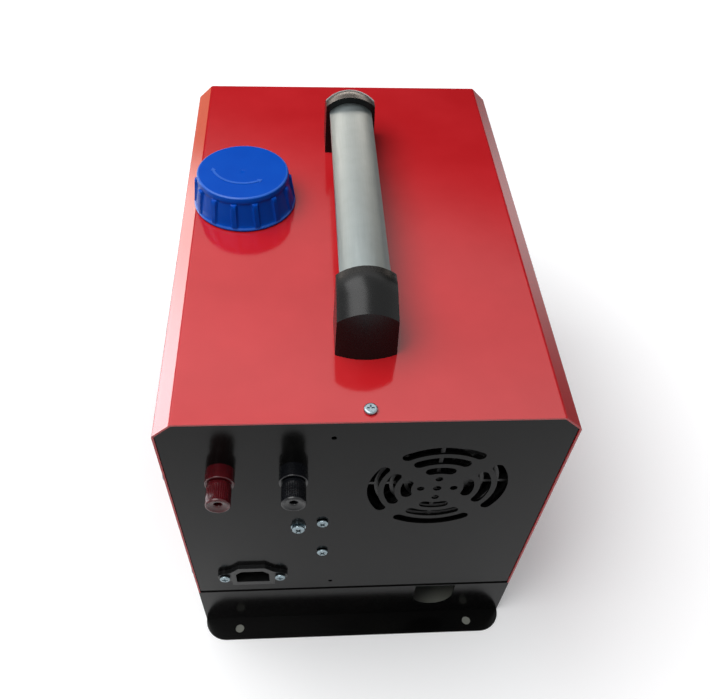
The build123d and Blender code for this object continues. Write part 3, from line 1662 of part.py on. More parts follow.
with BuildPart() as power_switch:
    with BuildSketch(front_plane(front_face)):
        with Locations((-switch_x, switch_z)):
            RectangleRounded(switch_width, switch_height, switch_bezel)
    extrude(amount=switch_bezel)
    fillet(power_switch.faces().sort_by(Axis.Y)[-1].edges(), switch_edge)
    with BuildSketch(front_plane(front_face)):
        with Locations((-switch_x, switch_z)):
            Rectangle(switch_body_width, switch_body_height)
    extrude(amount=-switch_body_depth)
    with BuildSketch(front_plane(front_face + switch_bezel)):
        with Locations((-switch_x, switch_z)):
            Rectangle(rocker_width + 2 * rocker_gap, 2 * (rocker_radius + rocker_gap))
    extrude(amount=-rocker_well, mode=Mode.SUBTRACT)
    with BuildSketch(Plane.YZ.offset(switch_x)):
        with Locations((pivot_y, switch_z)):
            Circle(rocker_pin + rocker_pin_gap)
    extrude(
        amount=rocker_width / 2 + rocker_pin_length + 2 * rocker_gap,
        both=True,
        mode=Mode.SUBTRACT,
    )
export("power_switch", power_switch)

with BuildPart() as power_rocker:
    shoulder = rocker_ridge - rocker_radius * tan(radians(rocker_tilt))
    with BuildSketch(Plane.YZ.offset(switch_x)):
        with Locations(Location((pivot_y, switch_z), -rocker_tilt)):
            Circle(rocker_radius)
            with BuildSketch(mode=Mode.PRIVATE) as crest:
                with BuildLine():
                    Polyline(
                        (-rocker_base, -rocker_radius),
                        (shoulder, -rocker_radius),
                        (rocker_ridge, 0),
                        (shoulder, rocker_radius),
                        (-rocker_base, rocker_radius),
                        close=True,
                    )
                make_face()
            add(crest.sketch, mode=Mode.INTERSECT)
    extrude(amount=rocker_width / 2, both=True)
    with BuildSketch(Plane.YZ.offset(switch_x)):
        with Locations((pivot_y, switch_z)):
            Circle(rocker_pin)
    extrude(amount=rocker_width / 2 + rocker_pin_length, both=True)
export("power_rocker", power_rocker)
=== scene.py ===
"""A portable diesel air heater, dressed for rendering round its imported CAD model."""

import json
import math

import bmesh
import bpy
from mathutils import Matrix, Vector


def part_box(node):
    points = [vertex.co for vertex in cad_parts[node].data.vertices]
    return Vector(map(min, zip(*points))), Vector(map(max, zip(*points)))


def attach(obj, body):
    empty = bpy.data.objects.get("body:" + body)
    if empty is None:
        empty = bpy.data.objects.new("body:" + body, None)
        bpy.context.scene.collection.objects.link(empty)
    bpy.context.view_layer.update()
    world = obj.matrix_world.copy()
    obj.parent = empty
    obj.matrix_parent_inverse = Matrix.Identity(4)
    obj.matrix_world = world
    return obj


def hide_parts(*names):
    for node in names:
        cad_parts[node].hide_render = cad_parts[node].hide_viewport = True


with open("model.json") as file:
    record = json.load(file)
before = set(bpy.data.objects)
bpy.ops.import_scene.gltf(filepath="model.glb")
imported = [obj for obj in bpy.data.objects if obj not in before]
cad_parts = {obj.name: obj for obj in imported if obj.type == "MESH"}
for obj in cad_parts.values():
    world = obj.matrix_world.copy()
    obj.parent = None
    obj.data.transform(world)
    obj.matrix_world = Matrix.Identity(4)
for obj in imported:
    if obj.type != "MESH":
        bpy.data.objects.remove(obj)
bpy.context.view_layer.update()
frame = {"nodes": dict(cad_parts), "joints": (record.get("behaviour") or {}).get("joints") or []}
cad = frame["nodes"]

# --- Camera and room light ---
# The camera stands close behind and above the rear panel and looks steeply down, so the case
# tapers to its foot and to its far end. The light is one large softbox over the near end, with
# a faint even fill.

LENS_MM = 37.03
SENSOR_MM = 36.0
CAMERA_PLACE = Vector((-0.0340, -0.41375, 0.5788))
CAMERA_TURN = Vector((2.48831050, -0.0490166969, 0.0710077608))  # axis times angle, in radians
SHIFT_Y = 0.0993
NEAREST = 0.01
KEY_PLACE = (-0.42, -0.12, 1.2)
KEY_AIM = (0, -0.05, 0.2)
KEY_SIZE = (1.2, 0.8)
KEY_WATTS = 15.2
FILL_LEVEL = 0.2
WHITE = "#FFFFFF"


def linear(code):
    """An sRGB hex colour as linear RGBA."""
    channels = [int(code[at : at + 2], 16) / 255 for at in (1, 3, 5)]
    return [c / 12.92 if c <= 0.04045 else ((c + 0.055) / 1.055) ** 2.4 for c in channels] + [1.0]


def add_node(tree, kind, inputs=None, **settings):
    """Adds a node; inputs gives values or the sockets that feed it."""
    made = tree.nodes.new(kind)
    for name, value in settings.items():
        setattr(made, name, value)
    for socket, value in (inputs or {}).items():
        if isinstance(value, bpy.types.NodeSocket):
            tree.links.new(value, made.inputs[socket])
        else:
            made.inputs[socket].default_value = value
    return made


camera_data = bpy.data.cameras.new("camera")
camera_data.lens = LENS_MM
camera_data.sensor_width = SENSOR_MM
camera_data.shift_y = SHIFT_Y
camera_data.clip_start = NEAREST
camera = bpy.data.objects.new("camera", camera_data)
bpy.context.scene.collection.objects.link(camera)
right, down, forward = Matrix.Rotation(CAMERA_TURN.length, 3, CAMERA_TURN)
camera.matrix_world = Matrix(
    (
        (right[0], -down[0], -forward[0], CAMERA_PLACE[0]),
        (right[1], -down[1], -forward[1], CAMERA_PLACE[1]),
        (right[2], -down[2], -forward[2], CAMERA_PLACE[2]),
        (0, 0, 0, 1),
    )
)
bpy.context.scene.camera = camera
bpy.context.scene.view_settings.view_transform = "Standard"


def background_rays(tree):
    """Is 1 for the rays that see the white background: camera, mirror and glass rays."""
    rays = add_node(tree, "ShaderNodeLightPath").outputs
    seen = rays["Is Camera Ray"]
    for kind in ("Is Glossy Ray", "Is Transmission Ray"):
        seen = add_node(tree, "ShaderNodeMath", {0: seen, 1: rays[kind]}, operation="MAXIMUM")
        seen = seen.outputs[0]
    return seen


world = bpy.data.worlds.new("studio")
bpy.context.scene.world = world
world.use_nodes = True
tree = world.node_tree
tree.nodes.clear()
fill = add_node(
    tree, "ShaderNodeBackground", {"Color": linear("#F4F7FF"), "Strength": FILL_LEVEL}
)
backdrop = add_node(tree, "ShaderNodeBackground", {"Color": linear(WHITE), "Strength": 1.0})
sky = add_node(
    tree,
    "ShaderNodeMixShader",
    {0: background_rays(tree), 1: fill.outputs[0], 2: backdrop.outputs[0]},
)
add_node(tree, "ShaderNodeOutputWorld", {"Surface": sky.outputs[0]})

lamp = bpy.data.lights.new("key_softbox", "AREA")
lamp.shape = "RECTANGLE"
lamp.size, lamp.size_y = KEY_SIZE
lamp.energy = KEY_WATTS
key = bpy.data.objects.new("key_softbox", lamp)
key.location = KEY_PLACE
key.rotation_euler = (Vector(KEY_AIM) - Vector(KEY_PLACE)).to_track_quat("-Z", "Y").to_euler()
bpy.context.scene.collection.objects.link(key)

# --- White sweep and painted shade sheet ---
# The heater stands on a matt white sweep that fills the view. A smaller grey sheet lies hidden
# under it, and shows only through the foot holes and the exhaust notch: painted shade under the
# heater.

SWEEP_SIZE = 12.0
NEAR_RING = (0.17, 0.4)  # where the sweep starts to glow, from the heater's middle
NEAR_GLOW = (0.2, 0.55)
FAR_RING = (0.6, 1.4)
FAR_GLOW = (0.0, 0.7)
SHADE_SHEET_INSET = (0.010, 0.004)  # from the base tray's edges
SHADE_SHEET_RISE = 0.0002


def new_surface(name):
    """A material with an empty node tree."""
    made = bpy.data.materials.new(name)
    made.use_nodes = True
    made.node_tree.nodes.clear()
    return made, made.node_tree


def new_piece(name, mesh_maker, surface, smooth_degrees=35):
    """A mesh piece filled by mesh_maker, with one surface."""
    mesh = bpy.data.meshes.new(name)
    made = bmesh.new()
    mesh_maker(made)
    bmesh.ops.recalc_face_normals(made, faces=made.faces)
    made.to_mesh(mesh)
    made.free()
    mesh.materials.append(surface)
    piece = bpy.data.objects.new(name, mesh)
    bpy.context.scene.collection.objects.link(piece)
    mesh.shade_smooth()
    mesh.set_sharp_from_angle(angle=math.radians(smooth_degrees))
    return piece


# Matt paper: it glows to white away from the heater, and keeps the soft shadow close to it.
sweep_surface, tree = new_surface("matt_white_sweep")
place = add_node(tree, "ShaderNodeTexCoord").outputs["Object"]
away = add_node(tree, "ShaderNodeVectorMath", {0: place}, operation="LENGTH").outputs["Value"]
near_lift = add_node(
    tree,
    "ShaderNodeMapRange",
    {
        "Value": away,
        "From Min": NEAR_RING[0],
        "From Max": NEAR_RING[1],
        "To Min": NEAR_GLOW[0],
        "To Max": NEAR_GLOW[1],
    },
)
far_lift = add_node(
    tree,
    "ShaderNodeMapRange",
    {
        "Value": away,
        "From Min": FAR_RING[0],
        "From Max": FAR_RING[1],
        "To Min": FAR_GLOW[0],
        "To Max": FAR_GLOW[1],
    },
)
lift = add_node(
    tree, "ShaderNodeMath", {0: near_lift.outputs[0], 1: far_lift.outputs[0]}, operation="ADD"
)
seen_lift = add_node(
    tree, "ShaderNodeMath", {0: lift.outputs[0], 1: background_rays(tree)}, operation="MULTIPLY"
)
matt_white = add_node(tree, "ShaderNodeBsdfDiffuse", {"Color": linear("#E6E6E6")})
glow = add_node(
    tree, "ShaderNodeEmission", {"Color": linear(WHITE), "Strength": seen_lift.outputs[0]}
)
both = add_node(tree, "ShaderNodeAddShader", {0: matt_white.outputs[0], 1: glow.outputs[0]})
add_node(tree, "ShaderNodeOutputMaterial", {"Surface": both.outputs[0]})


def sweep_mesh(made):
    """A flat square sheet."""
    bmesh.ops.create_grid(made, x_segments=1, y_segments=1, size=SWEEP_SIZE / 2)


new_piece("white_sweep", sweep_mesh, sweep_surface)


def painted_shade_mesh(made):
    """A sheet a little smaller than the heater's base."""
    base_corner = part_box("base_tray")[1]
    x, y = base_corner[0] - SHADE_SHEET_INSET[0], base_corner[1] - SHADE_SHEET_INSET[1]
    corners = [(-x, -y, SHADE_SHEET_RISE), (x, -y, SHADE_SHEET_RISE), (x, y, SHADE_SHEET_RISE), (-x, y, SHADE_SHEET_RISE)]
    made.faces.new([made.verts.new(corner) for corner in corners])


# Painted shade: a flat mid grey sheet standing in for the shade under the heater.
painted_shade_surface, tree = new_surface("painted_shade_sheet")
painted_shade_grey = add_node(tree, "ShaderNodeBsdfDiffuse", {"Color": linear("#83857D")})
add_node(tree, "ShaderNodeOutputMaterial", {"Surface": painted_shade_grey.outputs[0]})
new_piece("painted_shade_sheet", painted_shade_mesh, painted_shade_surface)

# --- Reflection cards ---
# Graded cards stand behind the heater and on both sides; only reflections see them. They keep the
# far end of the gloss paint deep and draw the highlights on the cover's cut-off edges and the
# handle.

WARM_WHITE = "#FFF0E4"
WINDOW_WHITE = "#F4FAFF"
SOFT_ORANGE = "#F0B48A"


def graded_card(name, corners, way, stops, only_for=()):
    """A card that glows by its place along a direction; a stop is (metres, level, tint).

    Where only_for names CAD nodes, it shines on those alone.
    """
    surface, tree = new_surface(name)
    place = add_node(tree, "ShaderNodeTexCoord").outputs["Object"]
    along = add_node(tree, "ShaderNodeVectorMath", {0: place, 1: way}, operation="DOT_PRODUCT")
    start, end = stops[0][0], stops[-1][0]
    share = add_node(
        tree,
        "ShaderNodeMapRange",
        {"Value": along.outputs["Value"], "From Min": start, "From Max": end},
    )
    ramp = add_node(tree, "ShaderNodeValToRGB", {0: share.outputs[0]})
    ramp.color_ramp.interpolation = "EASE"
    marks = ramp.color_ramp.elements
    peak = max(level for _, level, _ in stops)
    for metres, level, tint in stops:
        if metres in (start, end):
            mark = marks[0 if metres == start else -1]
        else:
            mark = marks.new((metres - start) / (end - start))
        mark.color = [level / peak * part for part in linear(tint)[:3]] + [1.0]
    shine = add_node(tree, "ShaderNodeEmission", {"Color": ramp.outputs[0], "Strength": peak})
    add_node(tree, "ShaderNodeOutputMaterial", {"Surface": shine.outputs[0]})
    card = new_piece(
        name, lambda made: made.faces.new([made.verts.new(at) for at in corners]), surface
    )
    card.visible_camera = False
    card.visible_diffuse = False
    card.visible_transmission = False
    card.visible_shadow = False
    if only_for:
        lit = bpy.data.collections.new(f"{name}_shines_on")
        for node in only_for:
            lit.objects.link(cad[node])
        card.light_linking.receiver_collection = lit


def upright(x0, y0, x1, y1, foot, head):
    """The corners of an upright sheet between two places, from its foot to its head."""
    return [(x0, y0, foot), (x1, y1, foot), (x1, y1, head), (x0, y0, head)]


# Behind: a dark wall under a bright ceiling. The warm daylight low down on it reaches only the
# handle, so the cover doesn't turn white in views from the side.
graded_card(
    "back_card",
    upright(-6, 4, 6, 4, 0, 7.5),
    (-0.3, 0, 1),
    [(2.55, 0.02, WHITE), (3.5, 1.1, WHITE), (5.5, 1.9, WHITE), (7.5, 1.2, WHITE)],
)
graded_card(
    "daylight_card",
    upright(-3.5, 3.9, 3.5, 3.9, 1.1, 1.9),
    (1, 0, 0),
    [
        (-3.5, 4.0, WARM_WHITE),
        (-0.5, 9.0, WARM_WHITE),
        (0.9, 9.0, WARM_WHITE),
        (2.2, 2.2, WARM_WHITE),
    ],
    only_for=("handle_end_rear", "handle_end_front", "handle_tube"),
)
# On the left: a low window, with something orange beyond it. On the right: a pale gap in the dark.
graded_card(
    "left_card",
    upright(-0.8, -0.1, -0.8, 2.0, 0, 0.32),
    (0, 1, 0),
    [
        (-0.1, 3.0, WINDOW_WHITE),
        (0.3, 7.0, WINDOW_WHITE),
        (0.9, 3.2, "#FFFAF4"),
        (1.2, 1.4, SOFT_ORANGE),
        (2.0, 1.1, SOFT_ORANGE),
    ],
)
graded_card(
    "right_card",
    upright(0.5, -0.3, 0.5, 1.3, 0, 0.3),
    (0, 1, 0),
    [(-0.3, 0.1, WHITE), (0.1, 0.15, WHITE), (0.5, 0.9, WHITE), (0.9, 0.3, WHITE)],
)

# --- Case: base tray, end panels and cover ---
# The base tray and the two end panels are folded from 1.2 mm steel sheet with a black satin
# powder coat. The cover is one sheet folded over them, in gloss red, and screws to the panels.

PAINT_PATCH_MM = 50.0
PAINT_FLECK_MM = 0.6  # drawn coarser: the real ones, near 0.1 mm, are too fine to show


def dress(surface, *names):
    """Gives CAD nodes their surface."""
    for name in names:
        cad[name].data.materials.clear()
        cad[name].data.materials.append(surface)


def powder_coat(name, colour, thin_colour, roughness, specular, peel_mm, peel_depth_mm):
    """Baked powder paint: thinner patches, duller flecks, and the ripple of its orange peel."""
    made, tree = new_surface(name)
    place = add_node(tree, "ShaderNodeTexCoord").outputs["Object"]
    patches = add_node(
        tree,
        "ShaderNodeTexNoise",
        {"Vector": place, "Scale": 1000 / PAINT_PATCH_MM, "Detail": 4.0},
    )
    thin = add_node(
        tree,
        "ShaderNodeMapRange",
        {"Value": patches.outputs[0], "From Min": 0.35, "From Max": 0.7},
    )
    flecks = add_node(
        tree,
        "ShaderNodeTexNoise",
        {"Vector": place, "Scale": 1000 / PAINT_FLECK_MM, "Detail": 2.0},
    )
    paint = add_node(
        tree,
        "ShaderNodeMix",
        {0: thin.outputs[0], 6: linear(colour), 7: linear(thin_colour)},
        data_type="RGBA",
    )
    peel = add_node(
        tree, "ShaderNodeTexNoise", {"Vector": place, "Scale": 1000 / peel_mm, "Detail": 3.0}
    )
    ripple = add_node(
        tree,
        "ShaderNodeBump",
        {"Height": peel.outputs[0], "Distance": peel_depth_mm / 1000, "Strength": 1.0},
    )
    dull = add_node(
        tree,
        "ShaderNodeMapRange",
        {
            "Value": flecks.outputs[0],
            "From Min": 0.3,
            "From Max": 0.7,
            "To Min": roughness - 0.03,
            "To Max": roughness + 0.05,
        },
    )
    coat = add_node(
        tree,
        "ShaderNodeBsdfPrincipled",
        {
            "Base Color": paint.outputs[2],
            "Roughness": dull.outputs[0],
            "Specular IOR Level": specular,
            "IOR": 1.5,
            "Normal": ripple.outputs[0],
        },
    )
    add_node(tree, "ShaderNodeOutputMaterial", {"Surface": coat.outputs[0]})
    return made


# Polyester powder coat: gloss red mirrors the fittings softly; satin black is nearly matt.
gloss_red = powder_coat("gloss_red_powder_coat", "#B4191F", "#BC2026", 0.1, 0.5, 3.0, 0.02)
satin_black = powder_coat("satin_black_powder_coat", "#070707", "#0C0C0B", 0.16, 0.12, 1.6, 0.01)
dress(gloss_red, "cover")
dress(satin_black, "base_tray", "rear_panel", "front_panel")

# --- Case screws ---
# Zinc-plated steel pan-head screws with a cross recess. The plating is bright, with fine
# stains and a slightly blue tint. One larger screw with a washer earths the case.

STAIN_MM = 8.0


def bare_metal(name, colour, stain_colour, roughness, grain_mm, grain_depth_mm, stretch):
    """Metal with stains and the fine lines of its rolling, brushing or casting.

    Real lines lie under 0.1 mm apart, too fine to show, so grain_mm is coarser.
    """
    made, tree = new_surface(name)
    place = add_node(tree, "ShaderNodeTexCoord").outputs["Object"]
    stains = add_node(
        tree, "ShaderNodeTexNoise", {"Vector": place, "Scale": 1000 / STAIN_MM, "Detail": 5.0}
    )
    stained = add_node(
        tree,
        "ShaderNodeMapRange",
        {"Value": stains.outputs[0], "From Min": 0.4, "From Max": 0.75},
    )
    along = add_node(tree, "ShaderNodeMapping", {"Vector": place, "Scale": stretch})
    grain = add_node(
        tree,
        "ShaderNodeTexNoise",
        {"Vector": along.outputs[0], "Scale": 1000 / grain_mm, "Detail": 3.0},
    )
    tint = add_node(
        tree,
        "ShaderNodeMix",
        {0: stained.outputs[0], 6: linear(colour), 7: linear(stain_colour)},
        data_type="RGBA",
    )
    dull = add_node(
        tree,
        "ShaderNodeMapRange",
        {
            "Value": grain.outputs[0],
            "From Min": 0.3,
            "From Max": 0.7,
            "To Min": roughness - 0.06,
            "To Max": roughness + 0.08,
        },
    )
    lines = add_node(
        tree,
        "ShaderNodeBump",
        {"Height": grain.outputs[0], "Distance": grain_depth_mm / 1000, "Strength": 1.0},
    )
    metal = add_node(
        tree,
        "ShaderNodeBsdfPrincipled",
        {
            "Base Color": tint.outputs[2],
            "Metallic": 1.0,
            "Roughness": dull.outputs[0],
            "Normal": lines.outputs[0],
        },
    )
    add_node(tree, "ShaderNodeOutputMaterial", {"Surface": metal.outputs[0]})
    return made


# Bright zinc plate: a clean silver with a blue tint and darker stains in the recesses.
zinc = bare_metal("bright_zinc_plate", "#8F9EA4", "#707E84", 0.26, 0.8, 0.01, (1, 1, 1))
dress(zinc, "cover_screws", "panel_screws", "earth_screw", "handle_screws")

# --- Carrying handle ---
# An oval aluminium tube, brushed lengthwise and clear anodised, held between two moulded end
# pieces that screw to the cover from below.

FLOW_MM = 20.0

# Anodised aluminium: a satin silver with fine brush lines along the grip.
anodised = bare_metal(
    "satin_anodised_aluminium", "#7F8889", "#7B8485", 0.38, 0.5, 0.004, (1, 0.02, 1)
)
dress(anodised, "handle_tube")


def moulded_plastic(
    name, colour, worn_colour, roughness, ior, grain_mm, grain_depth_mm, specular=0.5
):
    """Moulded plastic or rubber: slight colour flow, and the texture of its mould.

    A real mould's texture, near 0.1 mm, is too fine to show, so grain_mm is coarser.
    """
    made, tree = new_surface(name)
    place = add_node(tree, "ShaderNodeTexCoord").outputs["Object"]
    flow = add_node(
        tree, "ShaderNodeTexNoise", {"Vector": place, "Scale": 1000 / FLOW_MM, "Detail": 4.0}
    )
    drift = add_node(
        tree, "ShaderNodeMapRange", {"Value": flow.outputs[0], "From Min": 0.35, "From Max": 0.75}
    )
    tint = add_node(
        tree,
        "ShaderNodeMix",
        {0: drift.outputs[0], 6: linear(colour), 7: linear(worn_colour)},
        data_type="RGBA",
    )
    grain = add_node(
        tree, "ShaderNodeTexNoise", {"Vector": place, "Scale": 1000 / grain_mm, "Detail": 2.0}
    )
    dull = add_node(
        tree,
        "ShaderNodeMapRange",
        {
            "Value": grain.outputs[0],
            "From Min": 0.3,
            "From Max": 0.7,
            "To Min": roughness - 0.04,
            "To Max": roughness + 0.05,
        },
    )
    texture = add_node(
        tree,
        "ShaderNodeBump",
        {"Height": grain.outputs[0], "Distance": grain_depth_mm / 1000, "Strength": 1.0},
    )
    plastic = add_node(
        tree,
        "ShaderNodeBsdfPrincipled",
        {
            "Base Color": tint.outputs[2],
            "Roughness": dull.outputs[0],
            "IOR": ior,
            "Specular IOR Level": specular,
            "Normal": texture.outputs[0],
        },
    )
    add_node(tree, "ShaderNodeOutputMaterial", {"Surface": plastic.outputs[0]})
    return made


# Glass-filled nylon: near black, with a satin spark-eroded grain.
dark_nylon = moulded_plastic(
    "dark_nylon", "#08090A", "#0D0E0D", 0.27, 1.53, 0.7, 0.003, specular=0.2
)
dress(dark_nylon, "handle_end_rear", "handle_end_front")

# --- Fuel tank and neck ---
# A blow-moulded polyethylene tank with a neck that rises through the cover. A rubber gasket
# closes the gap round the neck, and a rubber ring seals the cap.

# Natural polyethylene: milky and waxy.
milky_tank = moulded_plastic("natural_polyethylene", "#D8D6CA", "#CBC8B8", 0.38, 1.51, 1.2, 0.02)
# Nitrile rubber: matt black, greyed where it is handled.
rubber = moulded_plastic("nitrile_rubber", "#151515", "#202020", 0.62, 1.52, 0.4, 0.02)
dress(milky_tank, "fuel_tank")
dress(rubber, "neck_gasket", "cap_seal")

# --- Fuel cap ---
# A screw cap moulded in blue polypropylene, with fourteen grip ribs, a flared skirt, and a
# raised double arrow beside the gate mark on its flat top.

turns_at = {joint["name"]: joint.get("pos_m") for joint in frame["joints"]}
CAP_AXIS = tuple(turns_at["cap_turn"][:2])
CAP_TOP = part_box("fuel_cap")[1][2]
CAP_RIBS = 14
CAP_RIB_PHASE = math.radians(-99.3)
CAP_RIB_WIDTH = 0.0037
CAP_RIB_PROUD = 0.0019
CAP_RIB_SOFTNESS = 0.022  # radians over which a rib's side rises
CAP_STEPS_PER_RIB = 26
CAP_FLAT_RADIUS = 0.0293
CAP_EDGE_RADIUS = 0.0015
CAP_EDGE_DEGREES = 85
CAP_EDGE_STEPS = 6
CAP_WALL_RADIUS = 0.0307
CAP_WALL_FLARE = 0.0027  # how much wider the wall is at the ribs' feet
CAP_RIB_TOP = 0.0053
CAP_RIB_LENGTH = 0.0142
CAP_RIB_FADE = 0.0008  # how much less the ribs stand out at their feet


def revolve(made, rings, steps, place, axis):
    """Sweeps rings round an axis; a ring is (radius, height), or gives that for an angle."""
    across = Vector((0, 0, 1)).rotation_difference(Vector(axis)).to_matrix()
    rows = []
    for ring in rings:
        row = []
        for step in range(steps):
            angle = 2 * math.pi * step / steps
            radius, height = ring(angle) if callable(ring) else ring
            point = Vector((radius * math.cos(angle), radius * math.sin(angle), height))
            row.append(across @ point + Vector(place))
            if radius == 0:
                break
        rows.append([made.verts.new(point) for point in row])
    for upper, lower in zip(rows, rows[1:]):
        for step in range(steps):
            after = (step + 1) % steps
            corners = [upper[step % len(upper)], upper[after % len(upper)]]
            corners += [lower[after % len(lower)], lower[step % len(lower)]]
            made.faces.new(list(dict.fromkeys(corners)))


def rib_shape(angle, count, phase, half_angle, soften):
    """Is 1 on a rib and 0 between ribs, with a soft edge."""
    pitch = 2 * math.pi / count
    away = abs((angle - phase + pitch / 2) % pitch - pitch / 2)
    level = min(1.0, max(0.0, (half_angle + soften / 2 - away) / soften))
    return level * level * (3 - 2 * level)


def cap_mesh(made):
    """The cap's skin from the middle of its top, down its side, and up inside to its roof."""

    def ribbed(radius, proud, height):
        half = CAP_RIB_WIDTH / 2 / radius
        return lambda angle: (
            radius + proud * rib_shape(angle, CAP_RIBS, CAP_RIB_PHASE, half, CAP_RIB_SOFTNESS),
            height,
        )

    rings = [(0, -0.0002), (0.0007, -0.00018), (0.0012, -0.00006), (0.0016, 0)]
    rings += [(r / 1000, 0) for r in (3, 8, 14, 20, 26, 28.6)] + [(CAP_FLAT_RADIUS, 0)]
    for step in range(1, CAP_EDGE_STEPS + 1):
        turn = math.radians(CAP_EDGE_DEGREES * step / CAP_EDGE_STEPS)
        out, down = CAP_EDGE_RADIUS * math.sin(turn), CAP_EDGE_RADIUS * (1 - math.cos(turn))
        rings.append((CAP_FLAT_RADIUS + out, -down))
    rings += [(0.0310, -0.0026), (0.0311, -0.0038), (0.0309, -0.0043)]
    rings.append(ribbed(0.0308, 0.0001, -0.0044))
    rings.append(ribbed(CAP_WALL_RADIUS, 0.0014, -0.0047))
    rings.append(ribbed(CAP_WALL_RADIUS, CAP_RIB_PROUD, -CAP_RIB_TOP))
    for height in (-0.008, -0.012, -0.016, -0.0195):
        share = (-CAP_RIB_TOP - height) / CAP_RIB_LENGTH
        radius = CAP_WALL_RADIUS + CAP_WALL_FLARE * share
        rings.append(ribbed(radius, CAP_RIB_PROUD - CAP_RIB_FADE * share, height))
    rings.append(ribbed(0.0337, 0.0009, -0.0203))
    rings.append(ribbed(0.0341, 0.0005, -0.0209))
    rings += [(0.0346, -0.0214), (0.0348, -0.0218), (0.0349, -0.0222), (0.0349, -0.0227)]
    rings += [(0.0347, -0.02295), (0.0344, -0.0230), (0.0271, -0.0230), (0.0269, -0.0228)]
    rings += [(0.0269, -0.0031), (0.0266, -0.0030), (0, -0.0030)]
    revolve(made, rings, CAP_RIBS * CAP_STEPS_PER_RIB, (*CAP_AXIS, CAP_TOP), (0, 0, 1))


# Blue polypropylene: a deep clear blue with a soft gloss, smooth on top.
blue_cap = moulded_plastic(
    "blue_polypropylene", "#0043A8", "#0348AE", 0.2, 1.49, 0.9, 0.004, specular=0.05
)
fuel_cap = new_piece("fuel_cap_shell", cap_mesh, blue_cap, smooth_degrees=50)
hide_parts("fuel_cap")
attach(fuel_cap, "fuel_cap")

ARROW_MIDDLE = (CAP_AXIS[0] + 0.0006, CAP_AXIS[1] + 0.0074)
ARROW_RADIUS = 0.0213
ARROW_WIDTH = 0.0017
ARROW_START = math.radians(199)
ARROW_END = math.radians(299)
ARROW_HEAD = 0.0030
ARROW_HEAD_HALF = 0.62 * ARROW_HEAD
ARROW_HEIGHT = 0.0003
ARROW_ROOT = 0.0004
ARROW_STEPS = 48
# The two bands of the cap that carry the painted highlight: its top edge and its skirt's edge.
CAP_HIGHLIGHT_EDGE = (0.0294, 0.0007)  # further out than this, and less than this below the top
CAP_HIGHLIGHT_SKIRT = (0.0343, 0.0210, 0.0224)  # further out than this, and between these depths


def arrow_mesh(made):
    """A flat curved bar with a pointed head at each end, raised from the cap's top."""
    top = CAP_TOP + ARROW_HEIGHT
    outline = []
    for offset, order in ((1, range(ARROW_STEPS + 1)), (-1, range(ARROW_STEPS, -1, -1))):
        for step in order:
            angle = ARROW_START + (ARROW_END - ARROW_START) * step / ARROW_STEPS
            outline.append((ARROW_RADIUS + offset * ARROW_WIDTH / 2, angle))
        tip, way = (ARROW_END, 1) if offset > 0 else (ARROW_START, -1)
        outline.append((ARROW_RADIUS + offset * ARROW_HEAD_HALF, tip))
        outline.append((ARROW_RADIUS, tip + way * ARROW_HEAD / ARROW_RADIUS))
        outline.append((ARROW_RADIUS - offset * ARROW_HEAD_HALF, tip))
    x, y = ARROW_MIDDLE
    points = [(x + r * math.cos(a), y + r * math.sin(a)) for r, a in outline]
    face = made.faces.new([made.verts.new((px, py, top)) for px, py in points])
    walls = bmesh.ops.extrude_face_region(made, geom=[face])["geom"]
    for vert in (part for part in walls if isinstance(part, bmesh.types.BMVert)):
        vert.co.z = CAP_TOP - ARROW_ROOT


# The same plastic, lighter: painted highlight on the raised arrow, the top edge and the skirt's
# edge.
painted_highlight_blue = moulded_plastic(
    "blue_polypropylene_painted_highlight", "#1454B4", "#1C5CBC", 0.3, 1.49, 0.5, 0.006, specular=0.3
)
fuel_cap.data.materials.append(painted_highlight_blue)
# Faces on the top edge and the skirt's edge take the lighter blue, a painted highlight.
edge_out, edge_depth = CAP_HIGHLIGHT_EDGE
skirt_out, skirt_top, skirt_bottom = CAP_HIGHLIGHT_SKIRT
for face in fuel_cap.data.polygons:
    out = (face.center.xy - Vector(CAP_AXIS)).length
    below = CAP_TOP - face.center.z
    on_edge = edge_out < out and below < edge_depth
    on_skirt = skirt_out < out and skirt_top < below < skirt_bottom
    if on_edge or on_skirt:
        face.material_index = 1
# The raised arrow is in the lighter blue too: a painted highlight.
arrow = new_piece("fuel_cap_arrow", arrow_mesh, painted_highlight_blue, smooth_degrees=30)
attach(arrow, "fuel_cap")

# --- Terminal posts ---
# Two binding posts for an outside battery. Each has a plastic collar against the panel and a
# fluted screw cap with a socket in its end, in clear red and in black, on a brass stud.

POST_CAP_RADIUS = 0.0073
POST_FLUTES = 36
POST_FLUTE_DEPTH = 0.00022
POST_STEPS_PER_FLUTE = 6
POST_SOCKET_RADIUS = 0.00205
POST_BORE_RADIUS = 0.0028
POST_BORE_DEPTH = 0.0077
RED_FLOW_MM = 4.0
RED_SCRATCH_MM = 0.5
RED_SCRATCH_DEPTH_MM = 0.004


